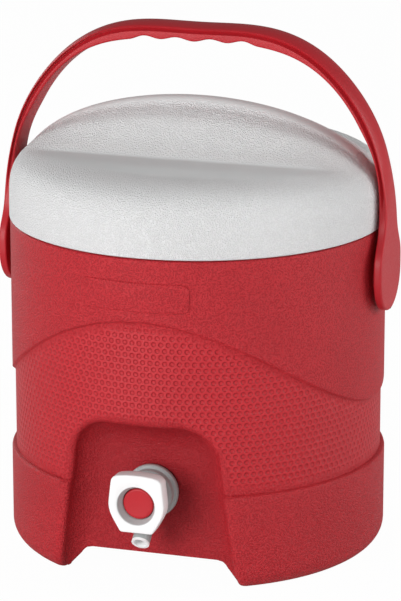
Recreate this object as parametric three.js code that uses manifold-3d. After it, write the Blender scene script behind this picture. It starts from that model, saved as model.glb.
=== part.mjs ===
import * as THREE from "three";
import { mergeVertices } from "three/addons/utils/BufferGeometryUtils.js";
import Module from "manifold-3d";

// An insulated drinks cooler: a round moulded housing with a tap recess at the front, a screw lid
// with a grip ridge, a push-button tap and a swinging carry handle.
// Millimetres, +Z up. The origin is the centre of the round footprint on the ground.
// -Y is the front, where the tap is, and the handle's pivots are at the sides along X.

const wasm = await Module();
wasm.setup();

const fullTurn = Math.PI * 2;
const quarterTurn = Math.PI / 2;

// Clearances
const fitGap = 0.3;
const overrun = 6;
const mergeStep = 1e-4;

// Housing
const bodyRadius = 114.8;
const seamHeight = 204;
const seamGap = 0.6;
const shellWall = 2.8;
const rimBevel = 0.8;
const ringProud = 2.7;
const ringHeight = 60;
const ringBevel = 1.6;
const bandSink = 1.9;
const stepBevel = 2.4;
const waveBelowSeam = 70.1;
const waveSwing = 33;
const wavesRound = 2;
const footRounding = 12;
const footWidth = 1.5;
const footSlopeWidth = 6.5;
const undersideHeight = 13.7;
const housingColumns = 72;
const roundingSteps = 5;

// Raised plain panel on the front of the housing
const panelLeftAngle = -0.335;
const panelRightAngle = 0.27;
const panelBelowSeam = 32;
const panelHeight = 18;
const panelLift = 0.7;
const panelRoot = 1.5;
const panelCorner = 5;
const panelColumns = 22;

// Tap recess
const recessDepth = 28.8;
const recessAboveHead = 27.2;
const recessTopHalfWidth = 41.6;
const recessFootHalfWidth = 55.6;
const recessTopSlope = 5.6;
const recessBackTopHalfWidth = 35;
const recessBackFootHalfWidth = 46.6;
const recessCorner = 24;
const recessRimRounding = 4.5;
const recessSideSteps = 4;

// Base cover and filling port
const coverInset = 13.6;
const coverThickness = 2.8;
const coverRibInset = 27;
const coverRibWidth = 2.5;
const coverRibHeight = 3;
const portRadius = 9;
const plugHeadLip = 3;
const plugHeadThickness = 2;

// Tank
const tankWall = 2.4;
const floorFoamThickness = 16.5;
const wallFoamThickness = 21.1;
const tankTaper = 10.5;
const tankFootRounding = 6;
const tankFootSteps = 3;
const shoulderBelowSeam = 16;
const neckStep = 5;
const neckAboveSeam = 21;
const deckClearance = 7;
const tankFlangeWidth = 15;
const tankFlangeThickness = 2.2;
const roundSegments = 40;

// Screw thread between the tank's neck and the lid
const threadStarts = 2;
const threadLead = 16;
const threadDepth = 2.4;
const threadHeight = 3;
const threadAboveSeam = 7;
const threadArcShare = 0.34;
const threadCrestShare = 0.5;
const threadEndShare = 0.3;
const threadSteps = 14;
const threadRoot = 0.8;
const threadFlankGap = 0.7;
const threadCrestGap = 0.9;

// Lid
const lidOverhang = 0.5;
const lidWall = 2.6;
const lidRise = 45;
const lidSquareness = 5.4;
const ridgeRise = 28.5;
const ridgeEndInset = 8.3;
const ridgeFlatHalfWidth = 5;
const ridgeFootHalfWidth = 34;
const ridgeEndPower = 0.85;
const scoopDepth = 5;
const scoopFloorInset = 41.3;
const scoopEdgeInset = 14.3;
const scoopNearRidge = 18;
const scoopFarFromRidge = 44;
const lidColumns = 48;
const lidSideRings = 5;
const lidTopRings = 9;
const panWall = 2.5;
const panGap = 0.7;
const panSideGap = 0.7;
const gasketThickness = 1.7;
const gasketOverhang = 1.2;

// Carry handle
const handleClearance = 1.7;
const pivotBelowSeam = 29;
const archAboveSeam = 1;
const handleAboveSeam = 118.4;
const bandHalfWidth = 10.5;
const bandThickness = 5;
const paddleRadius = 20.5;
const paddleBlend = 37;
const gripThickness = 9;
const gripHalfLength = 42;
const gripFade = 45;
const fingerPitch = 21;
const fingerDepth = 1.8;
const handleEdge = 1.6;
const archSteps = 44;
const paddleSteps = 6;
const blendSteps = 5;

// The arch's outer line: parts of the half width, and parts of the way from its start to its top.
const archLineShares = [
  [1, 0],
  [0.997, 0.119],
  [0.992, 0.213],
  [0.975, 0.324],
  [0.951, 0.426],
  [0.902, 0.537],
  [0.844, 0.643],
  [0.697, 0.807],
  [0.516, 0.937],
  [0.41, 0.978],
  [0.328, 0.995],
  [0.164, 1],
  [0, 1],
];

// Handle pivots
const hubRadius = 13.5;
const hubGap = 0.4;
const hubDepth = 7;
const bushingRadius = 8;
const bushingWall = 1.8;
const bushingFlangeLip = 2.5;
const bushingFlangeThickness = 1.6;
const pinSnapLip = 1.5;
const pinSnapThickness = 2;
const pinSocketDepth = 2.9;
const pocketClearance = 1.2;
const pivotSegments = 24;

// Tap body and its fixings
const bossRadius = 20;
const bossReach = 3.4;
const shankRadius = 8.2;
const shankReach = 15;
const inletDepth = 10.5;
const inletBoreRadius = 7;
const flowBoreRadius = 5;
const washerThickness = 1.8;
const washerRadius = 15.8;
const flangeRadius = 16.4;
const flangeThickness = 3;
const collarRadius = 14.2;
const collarThickness = 4;
const barrelRadius = 12.2;
const barrelLength = 14.7;
const springChamberDepth = 10;
const nutRadius = 17;
const nutThickness = 6;
const nutSides = 6;
const nutFloorGap = 4.8;
const tapSegments = 24;

// Tap head
const headDepth = 9.8;
const headTopAbove = 18.6;
const headShoulderAbove = 14.5;
const headWaistBelow = 7;
const headFootBelow = 16.5;
const headTopHalfWidth = 13.4;
const headShoulderHalfWidth = 16.4;
const headMiddleHalfWidth = 17.3;
const headFootHalfWidth = 9.8;
const headEdge = 1.8;
const headBoreRadius = 9.9;
const headFunnelRadius = 11.5;
const headFunnelDepth = 4.5;

// Push button, valve and spring
const buttonClearance = 0.4;
const buttonRecess = 4;
const buttonFaceThickness = 2.6;
const buttonSkirtLength = 7;
const buttonSkirtWall = 1.6;
const buttonEdge = 0.8;
const stemHubRadius = 3.6;
const stemHubLength = 4;
const stemSocketDepth = 3;
const stemRadius = 2;
const stemEndRadius = 4;
const stemEndThickness = 1.5;
const valveSealRadius = 6.3;
const valveSealThickness = 2.4;
const springRadius = 5.8;
const springWall = 1.4;
const glandRadius = 4.9;
const glandDepth = 2.6;
const glandWall = 2;

// Spout
const spoutTilt = Math.PI / 4.5;
const spoutBeyondBarrel = 2.5;
const spoutDrop = 25.9;
const spoutRadius = 5.4;
const spoutWall = 1.5;
const spoutTubeLength = 26;
const dropRadius = 3.2;
const spoutSegments = 20;

// Colours
const housingRed = new THREE.Color(0.5, 0.022, 0.035);
const buttonRed = new THREE.Color(0.55, 0.04, 0.05);
const lidWhite = new THREE.Color(0.85, 0.85, 0.86);
const tankWhite = new THREE.Color(0.8, 0.8, 0.8);
const tapWhite = new THREE.Color(0.9, 0.9, 0.9);
const tapGrey = new THREE.Color(0.42, 0.44, 0.45);
const foamYellow = new THREE.Color(0.75, 0.65, 0.4);
const rubberBlack = new THREE.Color(0.05, 0.05, 0.05);
const steelGrey = new THREE.Color(0.6, 0.6, 0.62);

// Places that follow from the sizes: housing, tank and lid
const waveMiddleHeight = seamHeight - waveBelowSeam;
const panelLowHeight = seamHeight - panelBelowSeam;
const panelTopHeight = panelLowHeight + panelHeight;
const bandRadius = bodyRadius - bandSink;
const ringRadius = bandRadius + ringProud;
const footOuterRadius = ringRadius - footRounding;
const footInnerRadius = footOuterRadius - footWidth;
const undersideRadius = footInnerRadius - footSlopeWidth;
const coverRadius = undersideRadius - coverInset;
const coverRibRadius = coverRadius - coverRibInset;
const shellTop = seamHeight - seamGap / 2;
const shellInnerRadius = bandRadius - shellWall;
const foamLow = undersideHeight + Math.max(shellWall, coverThickness);
const foamHigh = shellTop - shellWall;
const tankFloorHeight = foamLow + floorFoamThickness;
const tankShoulderHeight = seamHeight - shoulderBelowSeam;
const tankShoulderRadius = shellInnerRadius - wallFoamThickness;
const tankFootRadius = tankShoulderRadius - tankTaper;
const neckRadius = tankShoulderRadius + neckStep;
const neckTop = seamHeight + neckAboveSeam;
const threadLow = seamHeight + threadAboveSeam;
const tankFlangeLow = shellTop + fitGap;
const tankFlangeTop = tankFlangeLow + tankFlangeThickness;
const lidBase = seamHeight + seamGap / 2;
const lidRadius = bodyRadius + lidOverhang;
const ridgeHalfLength = lidRadius - ridgeEndInset;
const scoopInnerRadius = lidRadius - scoopFloorInset;
const scoopOuterRadius = lidRadius - scoopEdgeInset;
const panLow = tankFlangeTop + panGap;
const panSkirtInner = neckRadius + threadDepth + threadCrestGap;
const panSkirtOuter = panSkirtInner + panWall;
const panDiscLow = neckTop + gasketThickness + 2 * fitGap;
const panTop = panDiscLow + panWall;

// Places that follow from the sizes: tap, as Y values with the front negative
const tapHeight = tankFloorHeight + nutRadius + nutFloorGap;
const recessWallY = recessDepth - bodyRadius;
const recessTop = tapHeight + headTopAbove + recessAboveHead;
const recessBackTop = recessTop - recessTopSlope;
const recessInnerY = recessWallY + shellWall;
const bossInnerY = bossReach + tankWall - tankRadiusAt(tapHeight);
const shankEndY = bossInnerY + shankReach;
const seatY = shankEndY - inletDepth;
const outerWasherY = recessWallY - fitGap - washerThickness;
const flangeBackY = outerWasherY - fitGap;
const flangeFaceY = flangeBackY - flangeThickness;
const collarFaceY = flangeFaceY - collarThickness;
const barrelFrontY = collarFaceY - barrelLength;
const headBackY = barrelFrontY - fitGap;
const headFrontY = headBackY - headDepth;
const chamberFloorY = barrelFrontY + springChamberDepth;
const glandFloorY = chamberFloorY + glandDepth;
const flowEndY = glandFloorY + glandWall;
const buttonRadius = headBoreRadius - buttonClearance;
const buttonFaceY = headFrontY + buttonRecess;
const buttonBackY = buttonFaceY + buttonFaceThickness;
const valveSealY = seatY + fitGap;
const spoutOutletY = barrelFrontY - spoutBeyondBarrel;
const spoutOutletHeight = tapHeight - spoutDrop;
const dropY = spoutOutletY + spoutTubeLength * Math.cos(spoutTilt);
const dropLowHeight = spoutOutletHeight + spoutTubeLength * Math.sin(spoutTilt);

// Places that follow from the sizes: handle and its pivots, with X values of the side at +X
const pivotHeight = seamHeight - pivotBelowSeam;
const archStart = seamHeight + archAboveSeam;
const handleTop = seamHeight + handleAboveSeam;
const paddleInnerX = lidRadius + handleClearance;
const handleHalfWidth = paddleInnerX + bandThickness;
const hubFaceX = paddleInnerX - hubGap;
const hubInnerX = shellInnerRadius - hubDepth;
const bushingInnerX = hubInnerX - fitGap - bushingFlangeThickness;
const pinRadius = bushingRadius - bushingWall - fitGap;
const pinInnerX = bushingInnerX - fitGap - pinSnapThickness;
const pinOuterX = paddleInnerX + pinSocketDepth - fitGap;

// Solids and shapes shared by the sub-parts

function solidOf(geometry) {
  const bare = geometry.clone();
  bare.deleteAttribute("normal");
  bare.deleteAttribute("uv");
  const merged = mergeVertices(bare, mergeStep);
  return new wasm.Manifold(
    new wasm.Mesh({
      numProp: 3,
      vertProperties: merged.attributes.position.array,
      triVerts: new Uint32Array(merged.index.array),
    }),
  );
}

function geometryOf(solid) {
  const data = solid.getMesh();
  const geometry = new THREE.BufferGeometry();
  geometry.setAttribute("position", new THREE.BufferAttribute(data.vertProperties, data.numProp));
  geometry.setIndex(new THREE.BufferAttribute(data.triVerts, 1));
  const faceted = geometry.toNonIndexed();
  faceted.computeVertexNormals();
  return faceted;
}

function join(first, ...others) {
  return geometryOf(others.reduce((sum, other) => sum.add(solidOf(other)), solidOf(first)));
}

function cut(first, ...tools) {
  return geometryOf(tools.reduce((rest, tool) => rest.subtract(solidOf(tool)), solidOf(first)));
}

// A closed surface through rings of points, each ring turning by the right-hand rule about the way
// that the rings follow each other. The first and last ring are capped with a fan.
function loft(rings) {
  const perRing = rings[0].length;
  const points = rings.flat();
  const faces = [];
  for (let ring = 0; ring + 1 < rings.length; ring++) {
    for (let place = 0; place < perRing; place++) {
      const here = ring * perRing + place;
      const beside = ring * perRing + ((place + 1) % perRing);
      faces.push(here, beside, here + perRing);
      faces.push(beside, beside + perRing, here + perRing);
    }
  }
  const lastStart = points.length - perRing;
  for (const start of [0, lastStart]) {
    const hub = points.length;
    const ring = points.slice(start, start + perRing);
    points.push(ring.reduce((sum, point) => sum.add(point), new THREE.Vector3()).divideScalar(perRing));
    for (let place = 0; place < perRing; place++) {
      const edge = [start + place, start + ((place + 1) % perRing)];
      faces.push(...(start === 0 ? edge.reverse() : edge), hub);
    }
  }
  const geometry = new THREE.BufferGeometry().setFromPoints(points);
  geometry.setIndex(faces);
  return geometry;
}

// A solid turned about the Z axis from [radius, height] points that go up on the outside.
function turned(profile, segments) {
  const points = profile.map(([radius, height]) => new THREE.Vector2(radius, height));
  return new THREE.LatheGeometry(points, segments).rotateX(quarterTurn);
}

function disc(radius, low, high, segments) {
  return turned([[0, low], [radius, low], [radius, high], [0, high]], segments);
}

function ringBetween(innerRadius, outerRadius, low, high, segments) {
  const profile = [
    [innerRadius, low],
    [outerRadius, low],
    [outerRadius, high],
    [innerRadius, high],
    [innerRadius, low],
  ];
  return turned(profile, segments);
}

// Lays a piece that was turned about Z along the tap's axis, so that its heights become Y values.
function alongTap(geometry) {
  return geometry.rotateX(-quarterTurn).translate(0, 0, tapHeight);
}

// Lays a piece that was turned about Z along a handle pivot, so that its heights become X values.
function alongPivot(geometry, side) {
  const laid = geometry.rotateY(quarterTurn).translate(0, 0, pivotHeight);
  return side > 0 ? laid : laid.rotateZ(Math.PI);
}

function smoothStep(low, high, value) {
  const share = Math.min(Math.max((value - low) / (high - low), 0), 1);
  return share * share * (3 - 2 * share);
}

// A point at a radius and height, with the angle counted from the front toward +X.
function around(radius, angle, height) {
  return new THREE.Vector3(radius * Math.sin(angle), -radius * Math.cos(angle), height);
}

function ringAngles(columns) {
  return Array.from({ length: columns }, (_, column) => (fullTurn * column) / columns);
}

function mesh(name, geometry, color, roughness, metalness = 0) {
  const material = new THREE.MeshStandardMaterial({ color, roughness, metalness });
  const made = new THREE.Mesh(geometry, material);
  made.name = name;
  return made;
}

// Housing

function waveHeight(angle) {
  return waveMiddleHeight + waveSwing * Math.cos(wavesRound * angle);
}

// The outside of the housing at one angle, as [radius, height] points from the underside up.
function housingProfile(angle) {
  const foot = [];
  for (let step = 0; step <= roundingSteps; step++) {
    const turn = (quarterTurn * step) / roundingSteps;
    foot.push([footOuterRadius + footRounding * Math.sin(turn), footRounding * (1 - Math.cos(turn))]);
  }
  return [
    [undersideRadius, undersideHeight],
    [footInnerRadius, 0],
    ...foot,
    [ringRadius, ringHeight - ringBevel],
    [bandRadius, ringHeight],
    [bandRadius, waveHeight(angle) - stepBevel],
    [bodyRadius, waveHeight(angle)],
    [bodyRadius, shellTop - rimBevel],
    [bodyRadius - rimBevel, shellTop],
  ];
}

function housingBlock() {
  const columns = ringAngles(housingColumns).map((angle) => {
    return housingProfile(angle).map(([radius, height]) => around(radius, angle, height));
  });
  return loft(columns[0].map((_, row) => columns.map((column) => column[row])));
}

// The outline of the tap recess as [x, z] points, open downward, moved outward by grown.
function recessOutline(footHalfWidth, topHalfWidth, top, grown) {
  const high = top + grown;
  const corner = recessCorner + grown;
  const slope = (footHalfWidth - topHalfWidth) / top;
  const halfWidthAt = (height) => topHalfWidth + grown + slope * (top - height);
  const points = [];
  for (let step = 0; step <= recessSideSteps; step++) {
    const height = -overrun + ((high - corner + overrun) * step) / recessSideSteps;
    points.push([halfWidthAt(height), height]);
  }
  const centre = halfWidthAt(high - corner) - corner;
  for (let step = 1; step <= roundingSteps; step++) {
    const turn = (quarterTurn * step) / roundingSteps;
    points.push([centre + corner * Math.cos(turn), high - corner + corner * Math.sin(turn)]);
  }
  return [...points, ...points.map(([x, z]) => [-x, z]).reverse()];
}

// The recess as a solid to cut away: it flares from the flat back wall to the round outside,
// where its rim is rounded over.
function recessBlock(grown) {
  const back = recessOutline(recessBackFootHalfWidth, recessBackTopHalfWidth, recessBackTop, grown);
  const rings = [back.map(([x, z]) => new THREE.Vector3(x, recessWallY + grown, z))];
  const rim = [
    [-recessRimRounding, 0],
    [-recessRimRounding / 3, recessRimRounding / 3],
    [0, recessRimRounding],
    [overrun, recessRimRounding + overrun],
  ];
  for (const [beyond, spread] of rim) {
    const outline = recessOutline(recessFootHalfWidth, recessTopHalfWidth, recessTop, grown + spread);
    const radius = bandRadius + beyond;
    rings.push(outline.map(([x, z]) => new THREE.Vector3(x, -Math.sqrt(radius ** 2 - x ** 2), z)));
  }
  rings.push(rings.at(-1).map((point) => new THREE.Vector3(point.x, -ringRadius - overrun, point.z)));
  return loft(rings);
}

// The space between the housing's walls, less a clearance to them.
function wallSpace(clearance) {
  const radius = shellInnerRadius - clearance;
  const round = disc(radius, foamLow + clearance, foamHigh - clearance, housingColumns);
  return cut(round, recessBlock(shellWall + clearance));
}

// A plain panel with rounded ends, standing a little out of the housing.
function frontPanel() {
  const middle = (panelLowHeight + panelTopHeight) / 2;
  const halfHeight = (panelTopHeight - panelLowHeight) / 2;
  const rings = [];
  for (let column = 0; column <= panelColumns; column++) {
    const angle = panelLeftAngle + ((panelRightAngle - panelLeftAngle) * column) / panelColumns;
    const fromEnd = bodyRadius * Math.min(angle - panelLeftAngle, panelRightAngle - angle);
    const short = Math.max(panelCorner - fromEnd, 0);
    const reach = halfHeight - panelCorner + Math.sqrt(panelCorner ** 2 - short ** 2);
    rings.push([
      around(bodyRadius - panelRoot, angle, middle - reach),
      around(bodyRadius - panelRoot, angle, middle + reach),
      around(bodyRadius + panelLift, angle, middle + reach),
      around(bodyRadius + panelLift, angle, middle - reach),
    ]);
  }
  return loft(rings);
}

function outerShell() {
  const coverOpening = disc(coverRadius + fitGap, -overrun, foamLow + overrun, roundSegments);
  const deckRadius = neckRadius + deckClearance;
  const deckOpening = disc(deckRadius, foamHigh - overrun, shellTop + overrun, roundSegments);
  const shankHole = alongTap(
    disc(shankRadius + fitGap, recessWallY - overrun, recessInnerY + overrun, tapSegments),
  );
  const walls = cut(housingBlock(), recessBlock(0), wallSpace(0), coverOpening, deckOpening, shankHole);
  const hubs = [1, -1].map((side) => alongPivot(disc(hubRadius, hubInnerX, hubFaceX, pivotSegments), side));
  const bores = [1, -1].map((side) => {
    const bore = disc(bushingRadius + fitGap, hubInnerX - overrun, hubFaceX + overrun, pivotSegments);
    return alongPivot(bore, side);
  });
  return mesh("outer_shell", cut(join(walls, frontPanel(), ...hubs), ...bores), housingRed, 0.45);
}

function baseCover() {
  const top = undersideHeight + coverThickness;
  const plate = disc(coverRadius, undersideHeight, top, roundSegments);
  const rib = ringBetween(
    coverRibRadius - coverRibWidth,
    coverRibRadius,
    undersideHeight - coverRibHeight,
    undersideHeight + coverThickness / 2,
    roundSegments,
  );
  const port = disc(portRadius, undersideHeight - overrun, top + overrun, pivotSegments);
  return mesh("base_cover", cut(join(plate, rib), port), housingRed, 0.5);
}

function foamPortPlug() {
  const headTop = undersideHeight - fitGap;
  const profile = [
    [0, headTop - plugHeadThickness],
    [portRadius + plugHeadLip, headTop - plugHeadThickness],
    [portRadius + plugHeadLip, headTop],
    [portRadius - fitGap, headTop],
    [portRadius - fitGap, undersideHeight + coverThickness],
    [0, undersideHeight + coverThickness],
  ];
  return mesh("foam_port_plug", turned(profile, pivotSegments), housingRed, 0.5);
}

// Tank

function tankRadiusAt(height) {
  const share = (height - tankFloorHeight) / (tankShoulderHeight - tankFloorHeight);
  return tankFootRadius + (tankShoulderRadius - tankFootRadius) * share;
}

// One side of the tank's wall from the middle of its floor to the neck, moved outward by grown.
function tankWallLine(grown) {
  const foot = [];
  for (let step = 0; step <= tankFootSteps; step++) {
    const turn = (quarterTurn * step) / tankFootSteps;
    const radius = tankFootRounding + grown;
    foot.push([
      tankFootRadius - tankFootRounding + radius * Math.sin(turn),
      tankFloorHeight + tankFootRounding - radius * Math.cos(turn),
    ]);
  }
  return [
    [0, tankFloorHeight - grown],
    ...foot,
    [tankShoulderRadius + grown, tankShoulderHeight],
    [neckRadius + grown, tankShoulderHeight + neckRadius - tankShoulderRadius],
  ];
}

// Helical ridges from a root radius to a crest radius, one for each start of the thread.
function threadRidges(rootRadius, crestRadius, low) {
  return ringAngles(threadStarts).map((startAngle) => {
    const rings = [];
    for (let step = 0; step <= threadSteps; step++) {
      const share = step / threadSteps;
      const angle = startAngle + fullTurn * threadArcShare * share;
      const middle = low + threadHeight / 2 + threadLead * threadArcShare * share;
      const ending = step === 0 || step === threadSteps ? threadEndShare : 1;
      const crest = rootRadius + (crestRadius - rootRadius) * ending;
      const halfCrest = (threadHeight / 2) * threadCrestShare;
      const ring = [
        around(rootRadius, angle, middle - threadHeight / 2),
        around(rootRadius, angle, middle + threadHeight / 2),
        around(crest, angle, middle + halfCrest),
        around(crest, angle, middle - halfCrest),
      ];
      rings.push(crestRadius > rootRadius ? ring : ring.reverse());
    }
    return loft(rings);
  });
}

function tankLiner() {
  const profile = [
    ...tankWallLine(0),
    [neckRadius, tankFlangeLow],
    [neckRadius + tankFlangeWidth, tankFlangeLow],
    [neckRadius + tankFlangeWidth, tankFlangeTop],
    [neckRadius, tankFlangeTop],
    [neckRadius, neckTop],
    [neckRadius - tankWall, neckTop],
    ...tankWallLine(-tankWall).reverse(),
  ];
  const boss = alongTap(disc(bossRadius, recessInnerY + fitGap, bossInnerY, tapSegments));
  const hole = disc(shankRadius + fitGap, recessWallY, bossInnerY + overrun, tapSegments);
  const threads = threadRidges(neckRadius - threadRoot, neckRadius + threadDepth, threadLow);
  const walls = join(turned(profile, roundSegments), boss, ...threads);
  return mesh("tank_liner", cut(walls, alongTap(hole)), tankWhite, 0.4);
}

function bodyFoam() {
  const tankSpace = turned(
    [...tankWallLine(fitGap), [neckRadius + fitGap, shellTop + overrun], [0, shellTop + overrun]],
    roundSegments,
  );
  const boss = disc(bossRadius + fitGap, recessWallY, 0, tapSegments);
  const pockets = [1, -1].map((side) => {
    const pocket = disc(hubRadius + fitGap, pinInnerX - pocketClearance, bodyRadius, pivotSegments);
    return alongPivot(pocket, side);
  });
  return mesh("body_foam", cut(wallSpace(fitGap), tankSpace, alongTap(boss), ...pockets), foamYellow, 0.9);
}

// Lid

// The lid's outside over the point at this radius and angle, moved inward by inset.
function lidHeight(radius, angle, inset) {
  const x = Math.abs(radius * Math.sin(angle));
  const y = Math.abs(radius * Math.cos(angle));
  const share = Math.min(radius / (lidRadius - inset), 1);
  const dome = (lidRise - inset) * (1 - share ** lidSquareness) ** (1 / lidSquareness);
  const lengthShare = Math.min(x / (ridgeHalfLength - inset), 1);
  const ridge = ridgeRise * (1 - lengthShare ** 2) ** ridgeEndPower;
  const ridgeSide = 1 - smoothStep(ridgeFlatHalfWidth, ridgeFootHalfWidth, y + inset);
  const scoopRound = 1 - smoothStep(scoopInnerRadius, scoopOuterRadius, radius);
  const scoop = scoopDepth * scoopRound * smoothStep(scoopNearRidge, scoopFarFromRidge, y);
  return lidBase + dome + ridge * ridgeSide - scoop;
}

// The solid under the lid's outside moved inward by inset, down to a flat face at a low height.
function lidBlock(inset, low) {
  const power = 2 / lidSquareness;
  const angles = ringAngles(lidColumns);
  const rings = [angles.map((angle) => around(lidRadius - inset, angle, low))];
  for (let step = 1; step < lidSideRings; step++) {
    const turn = (quarterTurn / 2) * (step / lidSideRings);
    const radius = (lidRadius - inset) * Math.cos(turn) ** power;
    const height = lidBase + (lidRise - inset) * Math.sin(turn) ** power;
    rings.push(angles.map((angle) => around(radius, angle, height)));
  }
  const crestRadius = (lidRadius - inset) * Math.cos(quarterTurn / 2) ** power;
  for (let step = 0; step < lidTopRings; step++) {
    const radius = crestRadius * (1 - step / lidTopRings);
    rings.push(angles.map((angle) => around(radius, angle, lidHeight(radius, angle, inset))));
  }
  return loft(rings);
}

function lidShell() {
  const shell = cut(lidBlock(0, lidBase), lidBlock(lidWall, lidBase - overrun));
  return mesh("lid_shell", shell, lidWhite, 0.5);
}

function lidFoam() {
  const block = lidBlock(lidWall + fitGap, panLow + panWall + fitGap);
  const panSpace = disc(panSkirtOuter + fitGap, panLow, panTop + fitGap, roundSegments);
  return mesh("lid_foam", cut(block, panSpace), foamYellow, 0.9);
}

function lidPan() {
  const panRadius = lidRadius - lidWall - panSideGap;
  const profile = [
    [0, panDiscLow],
    [panSkirtInner, panDiscLow],
    [panSkirtInner, panLow],
    [panRadius, panLow],
    [panRadius, panLow + panWall],
    [panSkirtOuter, panLow + panWall],
    [panSkirtOuter, panTop],
    [0, panTop],
  ];
  const threads = threadRidges(
    panSkirtInner + threadRoot,
    neckRadius + threadCrestGap,
    threadLow - threadHeight - threadFlankGap,
  );
  return mesh("lid_pan", join(turned(profile, roundSegments), ...threads), tankWhite, 0.4);
}

function lidGasket() {
  const inner = neckRadius - tankWall - gasketOverhang;
  const low = neckTop + fitGap;
  const ring = ringBetween(inner, neckRadius + gasketOverhang, low, low + gasketThickness, roundSegments);
  return mesh("lid_gasket", ring, rubberBlack, 0.8);
}

// Carry handle

// The outer line of the handle's right half from the paddle's foot to the middle of the grip.
function handleHalf() {
  const places = [];
  for (let step = 1; step <= paddleSteps; step++) {
    const below = Math.cos(quarterTurn * (step / (paddleSteps + 1)));
    places.push(new THREE.Vector2(handleHalfWidth, pivotHeight - paddleRadius * below));
  }
  for (let step = 0; step < blendSteps; step++) {
    const height = pivotHeight + (archStart - pivotHeight) * (step / blendSteps);
    places.push(new THREE.Vector2(handleHalfWidth, height));
  }
  const arch = archLineShares.map(([across, up]) => {
    return new THREE.Vector2(handleHalfWidth * across, archStart + (handleTop - archStart) * up);
  });
  return [...places, ...new THREE.SplineCurve(arch).getSpacedPoints(archSteps)];
}

function bandHalfWidthAt(height) {
  if (height < pivotHeight) return Math.sqrt(paddleRadius ** 2 - (pivotHeight - height) ** 2);
  const blend = smoothStep(pivotHeight, pivotHeight + paddleBlend, height);
  return paddleRadius + (bandHalfWidth - paddleRadius) * blend;
}

// The grip is thicker than the arms, and its underside has a groove for each of four fingers.
function bandThicknessAt(x) {
  const grip = 1 - smoothStep(gripHalfLength, gripHalfLength + gripFade, Math.abs(x));
  const groove = Math.abs(x) < gripHalfLength ? (1 - Math.cos((fullTurn * x) / fingerPitch)) / 2 : 0;
  return bandThickness + (gripThickness - bandThickness) * grip - fingerDepth * groove;
}

function carryHandle() {
  const half = handleHalf();
  const left = half.map((place) => new THREE.Vector2(-place.x, place.y));
  const path = [...left, ...half.slice(0, -1).reverse()];
  const rings = path.map((place, index) => {
    const before = path[Math.max(index - 1, 0)];
    const after = path[Math.min(index + 1, path.length - 1)];
    const along = after.clone().sub(before).normalize();
    const thickness = bandThicknessAt(place.x);
    const halfWidth = bandHalfWidthAt(place.y);
    const edge = Math.min(handleEdge, halfWidth / 2);
    const corner = (across, inward) => {
      return new THREE.Vector3(place.x + along.y * inward, across, place.y - along.x * inward);
    };
    return [
      corner(-halfWidth + edge, thickness),
      corner(halfWidth - edge, thickness),
      corner(halfWidth, thickness - edge),
      corner(halfWidth, edge),
      corner(halfWidth - edge, 0),
      corner(-halfWidth + edge, 0),
      corner(-halfWidth, edge),
      corner(-halfWidth, thickness - edge),
    ];
  });
  const sockets = [1, -1].map((side) => {
    const high = paddleInnerX + pinSocketDepth;
    return alongPivot(disc(pinRadius + fitGap, paddleInnerX - overrun, high, pivotSegments), side);
  });
  return mesh("carry_handle", cut(loft(rings), ...sockets), housingRed, 0.4);
}

function pivotPin(side) {
  const snapRadius = pinRadius + pinSnapLip;
  const profile = [
    [0, pinInnerX],
    [snapRadius - pinSnapLip / 2, pinInnerX],
    [snapRadius, pinInnerX + pinSnapThickness],
    [pinRadius, pinInnerX + pinSnapThickness],
    [pinRadius, pinOuterX],
    [0, pinOuterX],
  ];
  return alongPivot(turned(profile, pivotSegments), side);
}

function pivotBushing(side) {
  const inner = bushingRadius - bushingWall;
  const flangeOuter = bushingRadius + bushingFlangeLip;
  const profile = [
    [inner, bushingInnerX],
    [flangeOuter, bushingInnerX],
    [flangeOuter, bushingInnerX + bushingFlangeThickness],
    [bushingRadius, bushingInnerX + bushingFlangeThickness],
    [bushingRadius, hubFaceX],
    [inner, hubFaceX],
    [inner, bushingInnerX],
  ];
  return alongPivot(turned(profile, pivotSegments), side);
}

function handlePivots() {
  return [["right", 1], ["left", -1]].flatMap(([name, side]) => [
    mesh(`pivot_pin_${name}`, pivotPin(side), housingRed, 0.4),
    mesh(`pivot_bushing_${name}`, pivotBushing(side), tankWhite, 0.4),
  ]);
}

// Tap

// The tap body's outside as a turned solid, moved outward by grown.
function tapBodyOutside(grown) {
  const profile = [
    [0, barrelFrontY - grown],
    [barrelRadius + grown, barrelFrontY - grown],
    [barrelRadius + grown, collarFaceY - grown],
    [collarRadius + grown, collarFaceY - grown],
    [collarRadius + grown, flangeFaceY - grown],
    [flangeRadius + grown, flangeFaceY - grown],
    [flangeRadius + grown, flangeBackY],
    [shankRadius + grown, flangeBackY],
    [shankRadius + grown, shankEndY],
    [0, shankEndY],
  ];
  return alongTap(turned(profile, tapSegments));
}

// A cylinder along the spout's slanting axis, between two distances back from its outlet.
function alongSpout(radius, from, to) {
  const made = disc(radius, from, to, spoutSegments);
  return made.rotateX(spoutTilt - quarterTurn).translate(0, spoutOutletY, spoutOutletHeight);
}

function tapBody() {
  const bores = [
    disc(inletBoreRadius, seatY, shankEndY + overrun, tapSegments),
    disc(flowBoreRadius, flowEndY, seatY + overrun, tapSegments),
    disc(headBoreRadius, barrelFrontY - overrun, chamberFloorY, tapSegments),
    disc(glandRadius, barrelFrontY, glandFloorY, tapSegments),
    disc(stemRadius + fitGap, barrelFrontY, seatY, spoutSegments),
  ].map(alongTap);
  const outlet = alongSpout(spoutRadius - spoutWall, -overrun, spoutTubeLength);
  const drop = disc(dropRadius, dropLowHeight, tapHeight, spoutSegments).translate(0, dropY, 0);
  return mesh("tap_body", cut(tapBodyOutside(0), ...bores, outlet, drop), tapGrey, 0.35);
}

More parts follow.
